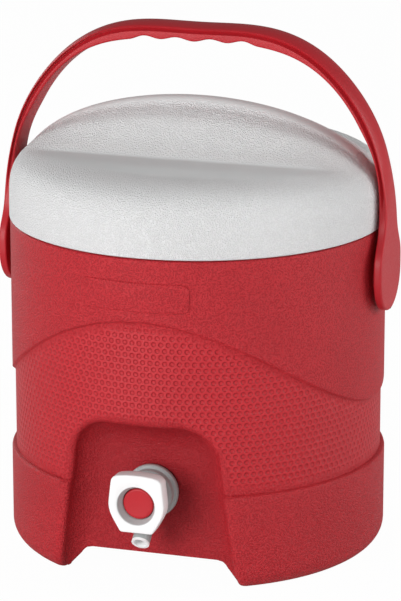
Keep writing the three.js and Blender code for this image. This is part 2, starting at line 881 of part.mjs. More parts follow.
function tapSpout() {
  const tube = cut(alongSpout(spoutRadius, 0, spoutTubeLength), tapBodyOutside(fitGap));
  const bore = alongSpout(spoutRadius - spoutWall, -overrun, spoutTubeLength + overrun);
  return mesh("tap_spout", cut(tube, bore), tapGrey, 0.35);
}

function tapHead() {
  const outline = new THREE.Shape();
  outline.moveTo(-headFootHalfWidth, -headFootBelow);
  outline.lineTo(headFootHalfWidth, -headFootBelow);
  outline.quadraticCurveTo(headShoulderHalfWidth, -headWaistBelow, headMiddleHalfWidth, 0);
  outline.lineTo(headShoulderHalfWidth, headShoulderAbove);
  outline.quadraticCurveTo(headShoulderHalfWidth, headTopAbove, headTopHalfWidth, headTopAbove);
  outline.lineTo(-headTopHalfWidth, headTopAbove);
  outline.quadraticCurveTo(-headShoulderHalfWidth, headTopAbove, -headShoulderHalfWidth, headShoulderAbove);
  outline.lineTo(-headMiddleHalfWidth, 0);
  outline.quadraticCurveTo(-headShoulderHalfWidth, -headWaistBelow, -headFootHalfWidth, -headFootBelow);
  const block = new THREE.ExtrudeGeometry(outline, {
    depth: headDepth - 2 * headEdge,
    bevelThickness: headEdge,
    bevelSize: headEdge,
    bevelOffset: -headEdge,
    bevelSegments: 2,
    curveSegments: roundingSteps,
  });
  block.rotateX(quarterTurn).translate(0, headBackY - headEdge, tapHeight);
  const bore = turned(
    [
      [0, headFrontY - overrun],
      [headFunnelRadius, headFrontY - overrun],
      [headFunnelRadius, headFrontY],
      [headBoreRadius, headFrontY + headFunnelDepth],
      [headBoreRadius, headBackY + overrun],
      [0, headBackY + overrun],
    ],
    tapSegments,
  );
  return mesh("tap_head", cut(block, alongTap(bore)), tapWhite, 0.3);
}

function washer(name, low) {
  const ring = ringBetween(shankRadius + fitGap, washerRadius, low, low + washerThickness, tapSegments);
  return mesh(name, alongTap(ring), rubberBlack, 0.8);
}

function backNut() {
  const low = bossInnerY + washerThickness + 2 * fitGap;
  const block = disc(nutRadius, low, low + nutThickness, nutSides);
  const hole = disc(shankRadius + fitGap, low - overrun, low + nutThickness + overrun, tapSegments);
  return mesh("tap_back_nut", alongTap(cut(block, hole)), tapWhite, 0.4);
}

function tapButton() {
  const skirtEndY = buttonBackY + buttonSkirtLength;
  const socketFloorY = buttonBackY + stemHubLength - stemSocketDepth;
  const profile = [
    [0, buttonFaceY],
    [buttonRadius - buttonEdge, buttonFaceY],
    [buttonRadius, buttonFaceY + buttonEdge],
    [buttonRadius, skirtEndY],
    [buttonRadius - buttonSkirtWall, skirtEndY],
    [buttonRadius - buttonSkirtWall, buttonBackY],
    [stemHubRadius, buttonBackY],
    [stemHubRadius, buttonBackY + stemHubLength],
    [stemRadius + fitGap, buttonBackY + stemHubLength],
    [stemRadius + fitGap, socketFloorY],
    [0, socketFloorY],
  ];
  return mesh("tap_button", alongTap(turned(profile, tapSegments)), buttonRed, 0.35);
}

function tapStem() {
  const frontY = buttonBackY + stemHubLength - stemSocketDepth + fitGap;
  const endY = valveSealY + valveSealThickness + fitGap;
  const profile = [
    [0, frontY],
    [stemRadius, frontY],
    [stemRadius, endY],
    [stemEndRadius, endY],
    [stemEndRadius, endY + stemEndThickness],
    [0, endY + stemEndThickness],
  ];
  return mesh("tap_stem", alongTap(turned(profile, spoutSegments)), tapWhite, 0.4);
}

function valveSeal() {
  const highY = valveSealY + valveSealThickness;
  const ring = ringBetween(stemRadius + fitGap, valveSealRadius, valveSealY, highY, tapSegments);
  return mesh("tap_valve_seal", alongTap(ring), rubberBlack, 0.8);
}

function stemSeal() {
  const low = chamberFloorY + fitGap;
  const high = glandFloorY - fitGap;
  const ring = ringBetween(stemRadius + fitGap, glandRadius - fitGap, low, high, tapSegments);
  return mesh("tap_stem_seal", alongTap(ring), rubberBlack, 0.8);
}

function returnSpring() {
  const low = buttonBackY + fitGap;
  const high = chamberFloorY - fitGap;
  const ring = ringBetween(springRadius - springWall, springRadius, low, high, tapSegments);
  return mesh("return_spring", alongTap(ring), steelGrey, 0.3, 1);
}

// Assembly

const housing = new THREE.Group();
housing.add(outerShell(), baseCover(), foamPortPlug(), tankLiner(), bodyFoam());

const lid = new THREE.Group();
lid.add(lidShell(), lidFoam(), lidPan(), lidGasket());

const handle = new THREE.Group();
handle.add(carryHandle(), ...handlePivots());

const tap = new THREE.Group();
tap.add(tapBody(), tapSpout(), tapHead(), backNut());
tap.add(washer("tap_outer_washer", outerWasherY), washer("tap_inner_washer", bossInnerY + fitGap));
tap.add(tapButton(), tapStem(), valveSeal(), stemSeal(), returnSpring());

const cooler = new THREE.Group();
cooler.add(housing, lid, handle, tap);

export default cooler;
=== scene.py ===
# %% [markdown]
# An insulated drinks cooler is mostly one material in many finishes: moulded plastic that is grained,
# dimpled or smooth. The shapes are soft, so the work is in clean curved surfaces with crisp steps.
# Everything is written in millimetres and turned into metres once, when a mesh is made.

# %% Load the frame
import math

import bmesh
import bpy
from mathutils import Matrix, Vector


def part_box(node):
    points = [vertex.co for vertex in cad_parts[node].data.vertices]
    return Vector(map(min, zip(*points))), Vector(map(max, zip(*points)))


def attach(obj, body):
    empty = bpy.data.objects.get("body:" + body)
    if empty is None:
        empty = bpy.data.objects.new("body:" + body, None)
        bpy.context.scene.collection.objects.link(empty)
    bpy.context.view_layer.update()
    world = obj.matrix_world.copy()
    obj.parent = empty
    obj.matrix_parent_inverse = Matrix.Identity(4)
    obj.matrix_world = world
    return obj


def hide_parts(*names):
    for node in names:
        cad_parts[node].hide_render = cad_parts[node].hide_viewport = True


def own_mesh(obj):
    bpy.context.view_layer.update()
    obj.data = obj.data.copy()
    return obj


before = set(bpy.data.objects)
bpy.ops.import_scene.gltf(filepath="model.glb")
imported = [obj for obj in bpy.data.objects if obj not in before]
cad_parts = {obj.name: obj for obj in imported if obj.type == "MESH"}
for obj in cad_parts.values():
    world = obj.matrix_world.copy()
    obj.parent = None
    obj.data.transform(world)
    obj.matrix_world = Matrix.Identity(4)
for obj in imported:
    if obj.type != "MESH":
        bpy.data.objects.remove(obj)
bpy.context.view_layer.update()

# %% [markdown]
# Most pieces here are skins stretched over rings of points. One helper stitches rings into faces,
# another turns a profile about an axis, and a third cuts or joins solids. A dense, regular grid
# gives the smooth highlights that moulded plastic shows, which a few large faces can't. Edges stay
# hard only where faces meet at more than an angle, a wider one for pieces that are round all over.

# %% Helpers for meshes
MM = 0.001
FULL_TURN = 2 * math.pi
QUARTER_TURN = math.pi / 2
WELD_GAP = 0.002
SHARP_ANGLE, ROUND_SHARP = 40, 50


def smooth_mesh(mesh, sharp_angle):
    """Shades a mesh smooth, with hard edges where its faces meet at more than an angle."""
    mesh.shade_smooth()
    mesh.set_sharp_from_angle(angle=math.radians(sharp_angle))


def make_piece(name, points, faces, sharp_angle=SHARP_ANGLE):
    """A mesh object from points in millimetres, with points that coincide joined."""
    mesh = bpy.data.meshes.new(name)
    mesh.from_pydata([Vector(point) * MM for point in points], [], faces)
    tidy = bmesh.new()
    tidy.from_mesh(mesh)
    bmesh.ops.remove_doubles(tidy, verts=tidy.verts, dist=WELD_GAP * MM)
    bmesh.ops.recalc_face_normals(tidy, faces=tidy.faces)
    tidy.to_mesh(mesh)
    tidy.free()
    smooth_mesh(mesh, sharp_angle)
    piece = bpy.data.objects.new(name, mesh)
    bpy.context.scene.collection.objects.link(piece)
    return piece


def stitch(rings, capped=True, looped=False):
    """Points and faces of a skin over closed rings that all have the same number of points."""
    count = len(rings[0])
    points = [point for ring in rings for point in ring]
    faces = []
    for ring in range(len(rings) if looped else len(rings) - 1):
        here, there = ring * count, ((ring + 1) % len(rings)) * count
        for place in range(count):
            beside = (place + 1) % count
            faces.append((here + place, here + beside, there + beside, there + place))
    if capped:
        faces.append(tuple(range(count)))
        faces.append(tuple(range(len(points) - count, len(points))))
    return points, faces


def around(radius, angle, height):
    """A point at a radius and height, with its angle counted from the front toward +X."""
    return (radius * math.sin(angle), -radius * math.cos(angle), height)


def turned_rings(profile, columns):
    """Rings round the Z axis through [radius, height] points."""
    angles = [FULL_TURN * column / columns for column in range(columns)]
    return [[around(radius, angle, height) for angle in angles] for radius, height in profile]


def plain_turned(name, profile, columns=96):
    """A solid turned about the Z axis, closed at its ends."""
    return make_piece(name, *stitch(turned_rings(profile, columns)))


def apply_modifiers(piece):
    """Turns what a piece's modifiers make into its own mesh."""
    bpy.context.view_layer.update()
    shown = piece.evaluated_get(bpy.context.evaluated_depsgraph_get())
    solid = bpy.data.meshes.new_from_object(shown)
    piece.modifiers.clear()
    piece.data = solid
    return solid


def combine(piece, tool, how, sharp_angle=SHARP_ANGLE):
    """Cuts or joins a piece with a second solid, which is used up."""
    step = piece.modifiers.new("combine", "BOOLEAN")
    step.operation = how
    step.solver = "MANIFOLD"
    step.object = tool
    solid = apply_modifiers(piece)
    bpy.data.objects.remove(tool)
    smooth_mesh(solid, sharp_angle)
    return piece


def smooth_step(low, high, value):
    """0 before low, 1 after high, and a soft step between them; low may be the larger one."""
    share = min(max((value - low) / (high - low), 0), 1)
    return share * share * (3 - 2 * share)


def rows(low, high, count):
    """Evenly spaced values from low up to, but without, high."""
    return [low + (high - low) * step / count for step in range(count)]


def rounded(corner, radius, steps, start):
    """Points of a quarter round about a corner's centre, from a start angle on."""
    angles = [start + QUARTER_TURN * step / steps for step in range(steps + 1)]
    return [(corner[0] + radius * math.cos(a), corner[1] + radius * math.sin(a)) for a in angles]


print("one unit of the sizes below in metres:", MM)

# %% [markdown]
# A material is a small sum over the surface: grain here, dimples there. Written as node names that
# sum is hard to read, so a class wraps a socket and lets Python's own signs build the maths nodes.
# Everything that isn't a sum, such as a noise or a bump, comes from one method of the finish.

# %% Helpers for materials
class Wire:
    """A value on a socket, which can be used in a sum."""

    def __init__(self, board, socket):
        self.board = board
        self.socket = socket

    def maths(self, operation, *values):
        inputs = dict(enumerate(values))
        return self.board.node("ShaderNodeMath", {"operation": operation}, inputs)

    def __add__(self, other):
        return self.maths("ADD", self, other)

    def __radd__(self, other):
        return self.maths("ADD", other, self)

    def __sub__(self, other):
        return self.maths("SUBTRACT", self, other)

    def __rsub__(self, other):
        return self.maths("SUBTRACT", other, self)

    def __mul__(self, other):
        return self.maths("MULTIPLY", self, other)

    def __rmul__(self, other):
        return self.maths("MULTIPLY", other, self)

    def __truediv__(self, other):
        return self.maths("DIVIDE", self, other)

    def fraction(self):
        return self.maths("FRACT", self)

    def root(self):
        return self.maths("SQRT", self)

    def smaller(self, other):
        return self.maths("MINIMUM", self, other)

    def ease(self, low, high):
        """0 below low, 1 above high, and a soft step between them."""
        settings = {"interpolation_type": "SMOOTHSTEP"}
        inputs = {"Value": self, "From Min": low, "From Max": high}
        return self.board.node("ShaderNodeMapRange", settings, inputs)


class Board:
    """The nodes of a material or of the sky, which are made by a call each."""

    def __init__(self, tree):
        self.tree = tree

    def node(self, kind, settings=None, inputs=None, output=0):
        """A node with its settings and its inputs, and one of its outputs as a wire."""
        made = self.tree.nodes.new(kind)
        for key, value in (settings or {}).items():
            setattr(made, key, value)
        for key, value in (inputs or {}).items():
            if isinstance(value, Wire):
                self.tree.links.new(value.socket, made.inputs[key])
            else:
                made.inputs[key].default_value = value
        return Wire(self, made.outputs[output])


class Finish(Board):
    """A material with one shader."""

    def __init__(self, name, roughness, **constants):
        self.material = bpy.data.materials.new(name)
        self.material.use_nodes = True
        super().__init__(self.material.node_tree)
        self.shader = self.tree.nodes["Principled BSDF"]
        self.shader.inputs["Roughness"].default_value = roughness
        for socket, value in constants.items():
            self.shader.inputs[socket.replace("_", " ")].default_value = value

    def place(self):
        """The point on the object, in metres."""
        return self.node("ShaderNodeTexCoord", output="Object")

    def share(self, name):
        """A share that is stored with the mesh, from 0 to 1."""
        return self.node("ShaderNodeAttribute", {"attribute_name": name}, output="Fac")

    def noise(self, scale, detail):
        inputs = {"Vector": self.place(), "Scale": scale, "Detail": detail}
        return self.node("ShaderNodeTexNoise", inputs=inputs, output="Fac")

    def blend(self, share, first, second):
        """The first colour where the share is 0 and the second where it is 1."""
        settings = {"data_type": "RGBA"}
        inputs = {0: share, 6: first, 7: second}
        return self.node("ShaderNodeMix", settings, inputs, output=2)

    def give(self, **values):
        """Leads wires to the shader's sockets, whose names are written with _ for a space."""
        for socket, wire in values.items():
            self.tree.links.new(wire.socket, self.shader.inputs[socket.replace("_", " ")])

    def bump(self, height, depth, under=None):
        """A normal bent by a height from 0 to 1 that stands for a depth in millimetres."""
        inputs = {"Strength": 1.0, "Distance": depth * MM, "Height": height}
        if under:
            inputs["Normal"] = under
        return self.node("ShaderNodeBump", inputs=inputs)


print("helpers for materials:", Wire.__name__, Board.__name__, Finish.__name__)

# %% [markdown]
# Moulded plastic often has a grain like leather, which is etched into the mould so that scratches
# and flow lines don't show. It is two noises here: one makes broad folds, and a finer one the pores
# on them. A noise needs no seam and no picture, and its scale is set by the width of one fold.

# %% The grain
GRAIN_FLOOR = 0.36
FOLD_TOP, PORE_TOP = 0.62, 0.64
FOLD_SHARE, PORE_SHARE = 0.7, 0.3
PORES_PER_FOLD = 1.9


def grain_height(finish, cell):
    """The height of a leather-like grain whose folds are about this wide, in millimetres."""
    folds = finish.noise(1 / (cell * MM), detail=0.0).ease(GRAIN_FLOOR, FOLD_TOP)
    pores = finish.noise(PORES_PER_FOLD / (cell * MM), detail=1.0).ease(GRAIN_FLOOR, PORE_TOP)
    return folds * FOLD_SHARE + pores * PORE_SHARE


print("folds and pores as shares of the grain:", FOLD_SHARE, PORE_SHARE)

# %% [markdown]
# The lower half of the housing is dimpled, which gives wet hands a better hold on the cooler.
# The dimples sit on a hexagonal lattice that is wrapped round the body: two rectangular lattices,
# one moved by half a step, give the distance to the nearest dimple without any stored picture.

# %% The lattice of the dimples
BAND_RADIUS = 112.9
DIMPLES_ROUND = 161
DIMPLE_STEP = FULL_TURN * BAND_RADIUS / DIMPLES_ROUND
DIMPLE_ROW = DIMPLE_STEP * math.sqrt(3)


def dimple_distance(finish):
    """The distance to the nearest dimple's centre, in millimetres."""
    split = finish.node("ShaderNodeSeparateXYZ", inputs={0: finish.place()})
    x, y, z = (Wire(finish, split.socket.node.outputs[axis]) for axis in range(3))
    across = x.maths("ARCTAN2", x, y * -1) * (DIMPLES_ROUND / FULL_TURN)
    up = z / (DIMPLE_ROW * MM)
    distances = []
    for shift in (0.0, 0.5):
        from_side = ((across + shift).fraction() - 0.5) * DIMPLE_STEP
        from_row = ((up + shift).fraction() - 0.5) * DIMPLE_ROW
        distances.append((from_side * from_side + from_row * from_row).root())
    return distances[0].smaller(distances[1])


print("dimples round the housing:", DIMPLES_ROUND, "step in mm:", round(DIMPLE_STEP, 2))

# %% [markdown]
# Three reds make the finish: one for the wall, a paler one for a painted highlight on raised grain
# and on the rims of the dimples, and a deep one for painted shade in pits, on the dimples' walls and
# in the recess, which also gives a slow drift of tone. The handle and the button are the same plastic
# from a polished mould, so they use the same function with a shallow grain and little contrast.

# %% Finishes of the red pieces
# The paler red is a painted highlight; the deep red is painted shade and a slow drift of tone.
RED = (0.49, 0.0145, 0.023, 1)
RED_PAINTED_HIGHLIGHT = (0.59, 0.032, 0.042, 1)
RED_SHADE_AND_DRIFT = (0.31, 0.008, 0.014, 1)
DIMPLE_FLOOR, DIMPLE_RIM, DIMPLE_DEPTH = 0.8, 1.75, 0.5
# Shares of painted highlight on raised grain and of painted shade in its pits.
GRAIN_HIGHLIGHT, GRAIN_HIGHLIGHT_BY_HEIGHT, PIT_SHADE = 0.28, 0.5, 0.4
PITS = (0.5, 1.0)
DRIFT, DRIFT_SCALE, DRIFT_SHADE = (0.35, 0.7), 14.0, 0.2
# Painted highlight on the rims of the dimples, painted shade on their walls and in the recess.
RIM_SHINE, DIMPLE_SHADE, RECESS_SHADE = 0.35, 0.75, 0.75
GRAIN_LOST_IN_DIMPLES = 0.75
GRAIN_WIDTH = 0.95
ROUGHNESS_SPREAD = 0.1


def grained_red(finish, height, contrast):
    """Red with painted highlights on raised grain and painted shade in pits; drifts over a hand's
    width.
    """
    colour = finish.blend(GRAIN_HIGHLIGHT + (height - 0.5) * (GRAIN_HIGHLIGHT_BY_HEIGHT * contrast), RED, RED_PAINTED_HIGHLIGHT)
    pits = (1 - height).ease(*PITS)
    colour = finish.blend(pits * (PIT_SHADE * contrast), colour, RED_SHADE_AND_DRIFT)
    drift = finish.noise(DRIFT_SCALE, detail=3.0).ease(*DRIFT)
    return finish.blend(drift * DRIFT_SHADE, colour, RED_SHADE_AND_DRIFT)


def red_finish(name, dimpled, roughness=0.46, depth=0.36, contrast=1.6):
    finish = Finish(name, roughness, Specular_IOR_Level=0.3)
    height = grain_height(finish, GRAIN_WIDTH)
    field = finish.share("dimple_share")
    if dimpled:
        height = 0.5 + (height - 0.5) * (1 - field * GRAIN_LOST_IN_DIMPLES)
    colour = grained_red(finish, height, contrast)
    normal = finish.bump(height, depth)
    if dimpled:
        rise = dimple_distance(finish).ease(DIMPLE_FLOOR, DIMPLE_RIM)
        slope = rise * (1 - rise) * 4
        # Painted highlight on the dimples' rims, painted shade on their walls and in the recess.
        colour = finish.blend(rise * field * RIM_SHINE, colour, RED_PAINTED_HIGHLIGHT)
        colour = finish.blend(slope * field * DIMPLE_SHADE, colour, RED_SHADE_AND_DRIFT)
        colour = finish.blend(finish.share("recess_painted_shade") * RECESS_SHADE, colour, RED_SHADE_AND_DRIFT)
        normal = finish.bump(1 - (1 - rise) * field, DIMPLE_DEPTH, under=normal)
    finish.give(Base_Color=colour, Normal=normal)
    finish.give(Roughness=roughness + (height - 0.5) * ROUGHNESS_SPREAD)
    return finish.material


RED_HOUSING = red_finish("red_housing", dimpled=True)
RED_HANDLE = red_finish("red_handle", dimpled=False, roughness=0.4, depth=0.03, contrast=0.15)
RED_BUTTON = red_finish("red_button", dimpled=False, roughness=0.4, depth=0.015, contrast=0.1)
print("red finishes:", RED_HOUSING.name, RED_HANDLE.name, RED_BUTTON.name)

# %% [markdown]
# White plastic looks flat unless its grain throws small shadows, so its bump does the work and its
# colour changes very little: its pits get a little painted shade. The lid's ridge top and finger
# hollows are polished smooth: a share stored in the mesh fades the grain out there. A second stored
# share leads from a finish's own colour to another one. On the tap's head it keeps the face white
# and paints shade on the sides and funnel; on the polished parts of the lid it paints a shade that is
# also less red to cancel the handle's red reflection; on the spout it makes the rim lighter.

# %% Finishes of the white, grey and hidden pieces
SMOOTH_HEIGHT = 0.6
PITS_END = 0.8


def plain_finish(name, colour, roughness, grain, depth, spread=0.06, grained_by=None, second=None,
                 **constants):
    """A grained finish: the grain's width and depth in millimetres, and how dark the painted shade in
    its pits is.
    """
    finish = Finish(name, roughness, **constants)
    height = grain_height(finish, grain)
    if grained_by:
        height = SMOOTH_HEIGHT + (height - SMOOTH_HEIGHT) * finish.share(grained_by)
    # The pits get a painted shade.
    pits = tuple(channel * (1 - spread) for channel in colour[:3]) + (1,)
    shown = finish.blend(height.ease(0.0, PITS_END), pits, colour)
    # A stored share leads to a second colour; with it the lid and the tap head get painted shade.
    if second:
        shown = finish.blend(finish.share("second_colour_share"), shown, second)
    finish.give(Base_Color=shown, Normal=finish.bump(height, depth))
    return finish.material


# The second lid colour is painted shade for the polished parts, less red to cancel the handle's red
# reflection.
LID_GRAINED, LID_PAINTED_SHADE = (0.95, 0.95, 0.955, 1), (0.865, 0.9, 0.9, 1)
TAP_WHITE, LINER_WHITE = (0.94, 0.94, 0.94, 1), (0.78, 0.78, 0.77, 1)
HEAD_SHADE, BODY_GREY = (0.5, 0.52, 0.52, 1), (0.42, 0.45, 0.45, 1)
FOAM_YELLOW, NEAR_BLACK = (0.72, 0.61, 0.36, 1), (0.03, 0.03, 0.03, 1)
STEEL_GREY = (0.6, 0.6, 0.62, 1)

WHITE_LID = plain_finish(
    "white_lid", LID_GRAINED, roughness=0.6, grain=0.74, depth=0.6, spread=0.07,
    grained_by="grain_share", second=LID_PAINTED_SHADE, Specular_IOR_Level=0.25,
)
WHITE_TAP = plain_finish("white_tap", TAP_WHITE, roughness=0.35, grain=0.9, depth=0.008, spread=0.02)
HEAD_TAP = plain_finish(
    "white_tap_head", HEAD_SHADE, roughness=0.4, grain=0.9, depth=0.008, spread=0.02,
    second=TAP_WHITE, Specular_IOR_Level=0.3,
)
GREY_TAP = plain_finish(
    "grey_tap", BODY_GREY, roughness=0.4, grain=0.9, depth=0.01, spread=0.04,
    second=TAP_WHITE, Specular_IOR_Level=0.3,
)
WHITE_LINER = plain_finish("white_liner", LINER_WHITE, roughness=0.4, grain=2.0, depth=0.03)
FOAM = plain_finish("yellow_foam", FOAM_YELLOW, roughness=0.95, grain=0.8, depth=0.3, spread=0.25)
RUBBER = plain_finish("black_rubber", NEAR_BLACK, roughness=0.75, grain=0.5, depth=0.02, spread=0.3)
STEEL = plain_finish(
    "spring_steel", STEEL_GREY, roughness=0.3, grain=0.4, depth=0.01, spread=0.15, Metallic=1.0,
)
print("finishes made:", len(bpy.data.materials))

# %% [markdown]
# The housing is a turned body whose outline changes with the angle: a wave-shaped step runs round
# it, proud above and sunk below, and a ring stands out at its foot. Rows of the grid follow the
# wave, so that the step stays one clean edge. A plain lathe can't do that, but rings of points can.

# %% The housing
BODY_RADIUS = 114.8
RING_RADIUS, RING_HEIGHT = 115.6, 60.0
SHELL_TOP = 203.7
UNDERSIDE = 13.7
FOOT_ROUNDING, FOOT_EDGE, FOOT_INNER = 12.0, 103.6, 102.1
WAVE_MIDDLE, WAVE_SWING = 133.9, 33.0
HOUSING_COLUMNS = 300
FOOT_HOLLOW = (
    (88.0, UNDERSIDE), (94.6, UNDERSIDE), (96.2, UNDERSIDE - 0.8), (97.2, UNDERSIDE - 2.4),
    (101.0, 2.2), (101.4, 0.9), (FOOT_INNER, 0.0),
)
RING_EDGE = ((115.6, 58.0), (115.35, 59.0), (114.7, 59.7), (113.8, 60.0), (112.95, 60.2), (112.9, 61.2))
SHELL_EDGE = ((BODY_RADIUS, 202.4), (114.6, 203.2), (114.0, SHELL_TOP))


def wave_height(angle):
    return WAVE_MIDDLE + WAVE_SWING * math.cos(2 * angle)


def housing_line(angle):
    """The housing's outside at one angle, as [radius, height] points from the underside up."""
    wave = wave_height(angle)
    line = list(FOOT_HOLLOW)
    line += rounded((FOOT_EDGE, FOOT_ROUNDING), FOOT_ROUNDING, 10, -QUARTER_TURN)
    line += [(RING_RADIUS, z) for z in rows(15, RING_HEIGHT - 2, 12)]
    line += RING_EDGE
    line += [(BAND_RADIUS, z) for z in rows(64, wave - 4, 22)]
    for share in (0, 0.2, 0.4, 0.6, 0.8, 1):
        rise = (BODY_RADIUS - BAND_RADIUS) * smooth_step(0, 1, share)
        line.append((BAND_RADIUS + rise, wave - 2.4 + 2.0 * share))
    line += [(BODY_RADIUS, z) for z in rows(wave + 1.5, SHELL_TOP - 2, 22)]
    line += SHELL_EDGE
    return line


def housing_solid():
    angles = [FULL_TURN * column / HOUSING_COLUMNS for column in range(HOUSING_COLUMNS)]
    columns = [[around(r, angle, z) for r, z in housing_line(angle)] for angle in angles]
    return make_piece("housing", *stitch([list(ring) for ring in zip(*columns)]))


housing = housing_solid()
print("housing grid faces:", len(housing.data.polygons))

# %% [markdown]
# The recess is a bay in the front wall, open at the foot: it keeps the tap inside the round of the
# housing and lets a cup reach the spout. It is cut with a solid that is stacked from arch-shaped
# outlines. One function draws them all: moved outward, wider at the rim, or narrower at the back.

# %% The recess's outlines
RECESS_TOP, RECESS_CORNER = 100.6, 24.0
SHOULDER = RECESS_TOP - RECESS_CORNER
RECESS_FOOT_HALF, RECESS_TOP_HALF = 55.6, 41.6
RECESS_SLOPE = (RECESS_FOOT_HALF - RECESS_TOP_HALF) / RECESS_TOP
INNER_FOOT, INNER_SIDE = 11.0, 20.0
FOOT_FLARE, FLARE_SOFTNESS = 1.3, 3.0
LOWEST, UNDER_GROUND = -20.0, -2.0
RIM_GROWS, HOLLOW_GROWS = (-14.0, 9.0), (10.0, 50.0)
OUTLINE_HEIGHTS = [LOWEST, UNDER_GROUND] + rows(0.0, 15.0, 20) + rows(15.0, 57.0, 11)
OUTLINE_HEIGHTS += rows(57.0, 62.0, 10) + rows(62.0, SHOULDER, 5) + [SHOULDER]


def recess_half(height):
    """Half the recess's width, which grows a little toward the foot."""
    return RECESS_TOP_HALF + RECESS_SLOPE * (RECESS_TOP - height)


def rim_share(height):
    """The rim's rounding gets a little smaller at the foot."""
    return smooth_step(*RIM_GROWS, height)


def inner_across(height):
    """How far the hollow between rim and back wall reaches inward."""
    return INNER_FOOT + (INNER_SIDE - INNER_FOOT) * smooth_step(*HOLLOW_GROWS, height)


def recess_outline(spread=0.0, foot_end=0.0, rim=0.0, inner=0.0):
    """The recess's outline as [x, z] points from the lower right over the top to the lower left."""
    moved = spread + rim - inner * INNER_SIDE
    high, corner = RECESS_TOP + moved, RECESS_CORNER + moved
    points = []
    for height in OUTLINE_HEIGHTS:
        half = recess_half(height) + spread + rim * rim_share(height) - inner * inner_across(height)
        below = max(foot_end - max(height, UNDER_GROUND), 0)
        points.append((half + FOOT_FLARE * below * below / (below + FLARE_SOFTNESS), height))
    flat = recess_half(SHOULDER) + moved - corner
    points += rounded((flat, SHOULDER), corner, 14, 0)[1:]
    points += [(flat * (1 - share), high) for share in rows(0, 1, 10)[1:]]
    mirrored = [(-x, z) for x, z in reversed(points)]
    return points + [(0.0, high)] + mirrored


print("points in one outline of the recess:", len(recess_outline()))

# %% [markdown]
# The outlines swing from the flat back wall to the rim in one smooth hollow, and over the rim they
# flare like the bell of a horn. That rounds the rim and the ends of the foot in the same cut. The
# same solid, moved outward by the wall's thickness, is kept when the inside is hollowed out.

# %% Cut the recess and the inside
RECESS_WALL_Y = -86.0
RIM_ACROSS, RIM_DEEP, RIM_END = 6.4, 5.2, 0.97
HOLLOW_STEPS, RIM_STEPS = 12, 8
BACK_FOOT_END = 13.9
CUTTER_FRONT = -130.0
WALL = 2.8
ROOM_RADIUS, ROOM_FLOOR, ROOM_TOP = 110.1, 16.5, 200.9
BASE_OPENING, DECK_OPENING = 82.3, 94.8


def outside_radius(height):
    """The housing's radius at a height below the wave: foot, ring and sunk band."""
    if height < FOOT_ROUNDING:
        below = FOOT_ROUNDING - max(height, 0)
        return FOOT_EDGE + math.sqrt(FOOT_ROUNDING ** 2 - below ** 2)
    above_ring = smooth_step(RING_HEIGHT - 2, RING_HEIGHT + 1, height)
    return RING_RADIUS + (BAND_RADIUS - RING_RADIUS) * above_ring


def outside_line(outline, inward):
    """The Y of each outline point on the housing's outside, moved inward."""
    return [-math.sqrt((outside_radius(z) - inward * rim_share(z)) ** 2 - x * x) for x, z in outline]


def recess_solid(grown=0.0):
    """The recess as a solid, moved outward by grown."""
    rings = []
    back = RECESS_WALL_Y + grown
    rim_start = outside_line(recess_outline(grown), RIM_DEEP)
    for step in range(HOLLOW_STEPS):
        turn = QUARTER_TURN * step / HOLLOW_STEPS
        left, deep = 1 - math.sin(turn), 1 - math.cos(turn)
        outline = recess_outline(grown, BACK_FOOT_END * left, inner=left)
        ends = zip(outline, rim_start)
        rings.append([(x, back + (start - back) * deep, z) for (x, z), start in ends])
    for turn in rows(0.0, QUARTER_TURN, RIM_STEPS) + [QUARTER_TURN * RIM_END]:
        outline = recess_outline(grown, rim=RIM_ACROSS * (1 - math.cos(turn)))
        line = outside_line(outline, RIM_DEEP * (1 - math.sin(turn)))
        rings.append([(x, y, z) for (x, z), y in zip(outline, line)])
    outline = recess_outline(grown + RIM_ACROSS + 1.5)
    rings.append([(x, -math.sqrt((outside_radius(z) + 1.0) ** 2 - x * x), z) for x, z in outline])
    rings.append([(x, CUTTER_FRONT, z) for x, z in outline])
    return make_piece("recess_cutter", *stitch(rings))


def rod(name, radius, low, high, columns=96):
    """A plain cylinder about the Z axis."""
    return plain_turned(name, [(radius, low), (radius, high)], columns)


room = rod("room", ROOM_RADIUS, ROOM_FLOOR, ROOM_TOP, 120)
combine(room, recess_solid(grown=WALL), "DIFFERENCE")
base_opening = rod("base_opening", BASE_OPENING, 0.0, 20.0)
deck_opening = rod("deck_opening", DECK_OPENING, 195.0, 210.0)
for tool in (room, recess_solid(), base_opening, deck_opening):
    combine(housing, tool, "DIFFERENCE")
print("housing faces after the cuts:", len(housing.data.polygons))

# %% [markdown]
# A handle that swings needs a hub on each side: a short boss through the wall, with a bushing in it.
# The tap's shank goes through a round hole in the recess's back wall. These are turned solids laid
# along X and Y, joined to the housing or cut out of it.

# %% Hubs and the tap's hole
PIVOT_HEIGHT = 175.0
TAP_HEIGHT = 54.8
HUB_LINE = ((13.5, 103.1), (13.5, 116.0), (12.9, 116.6))
HUB_BORE, SHANK_BORE = 8.3, 8.5


def laid_along_x(piece, side):
    """Lays a piece turned about Z along X, through the right (1) or left (-1) pivot."""
    for vertex in piece.data.vertices:
        x, y, z = vertex.co
        vertex.co = (side * z, y, PIVOT_HEIGHT * MM - side * x)
    return piece


def laid_along_y(piece):
    """Lays a piece turned about Z along Y, on the tap's middle line."""
    for vertex in piece.data.vertices:
        x, y, z = vertex.co
        vertex.co = (x, z, TAP_HEIGHT * MM - y)
    return piece


for side in (1, -1):
    combine(housing, laid_along_x(plain_turned("hub", HUB_LINE, 64), side), "UNION")
    combine(housing, laid_along_x(rod("hub_bore", HUB_BORE, 95.0, 125.0, 48), side), "DIFFERENCE")
combine(housing, laid_along_y(rod("shank_hole", SHANK_BORE, -92.0, -77.0, 48)), "DIFFERENCE")
print("housing faces with hubs:", len(housing.data.polygons))

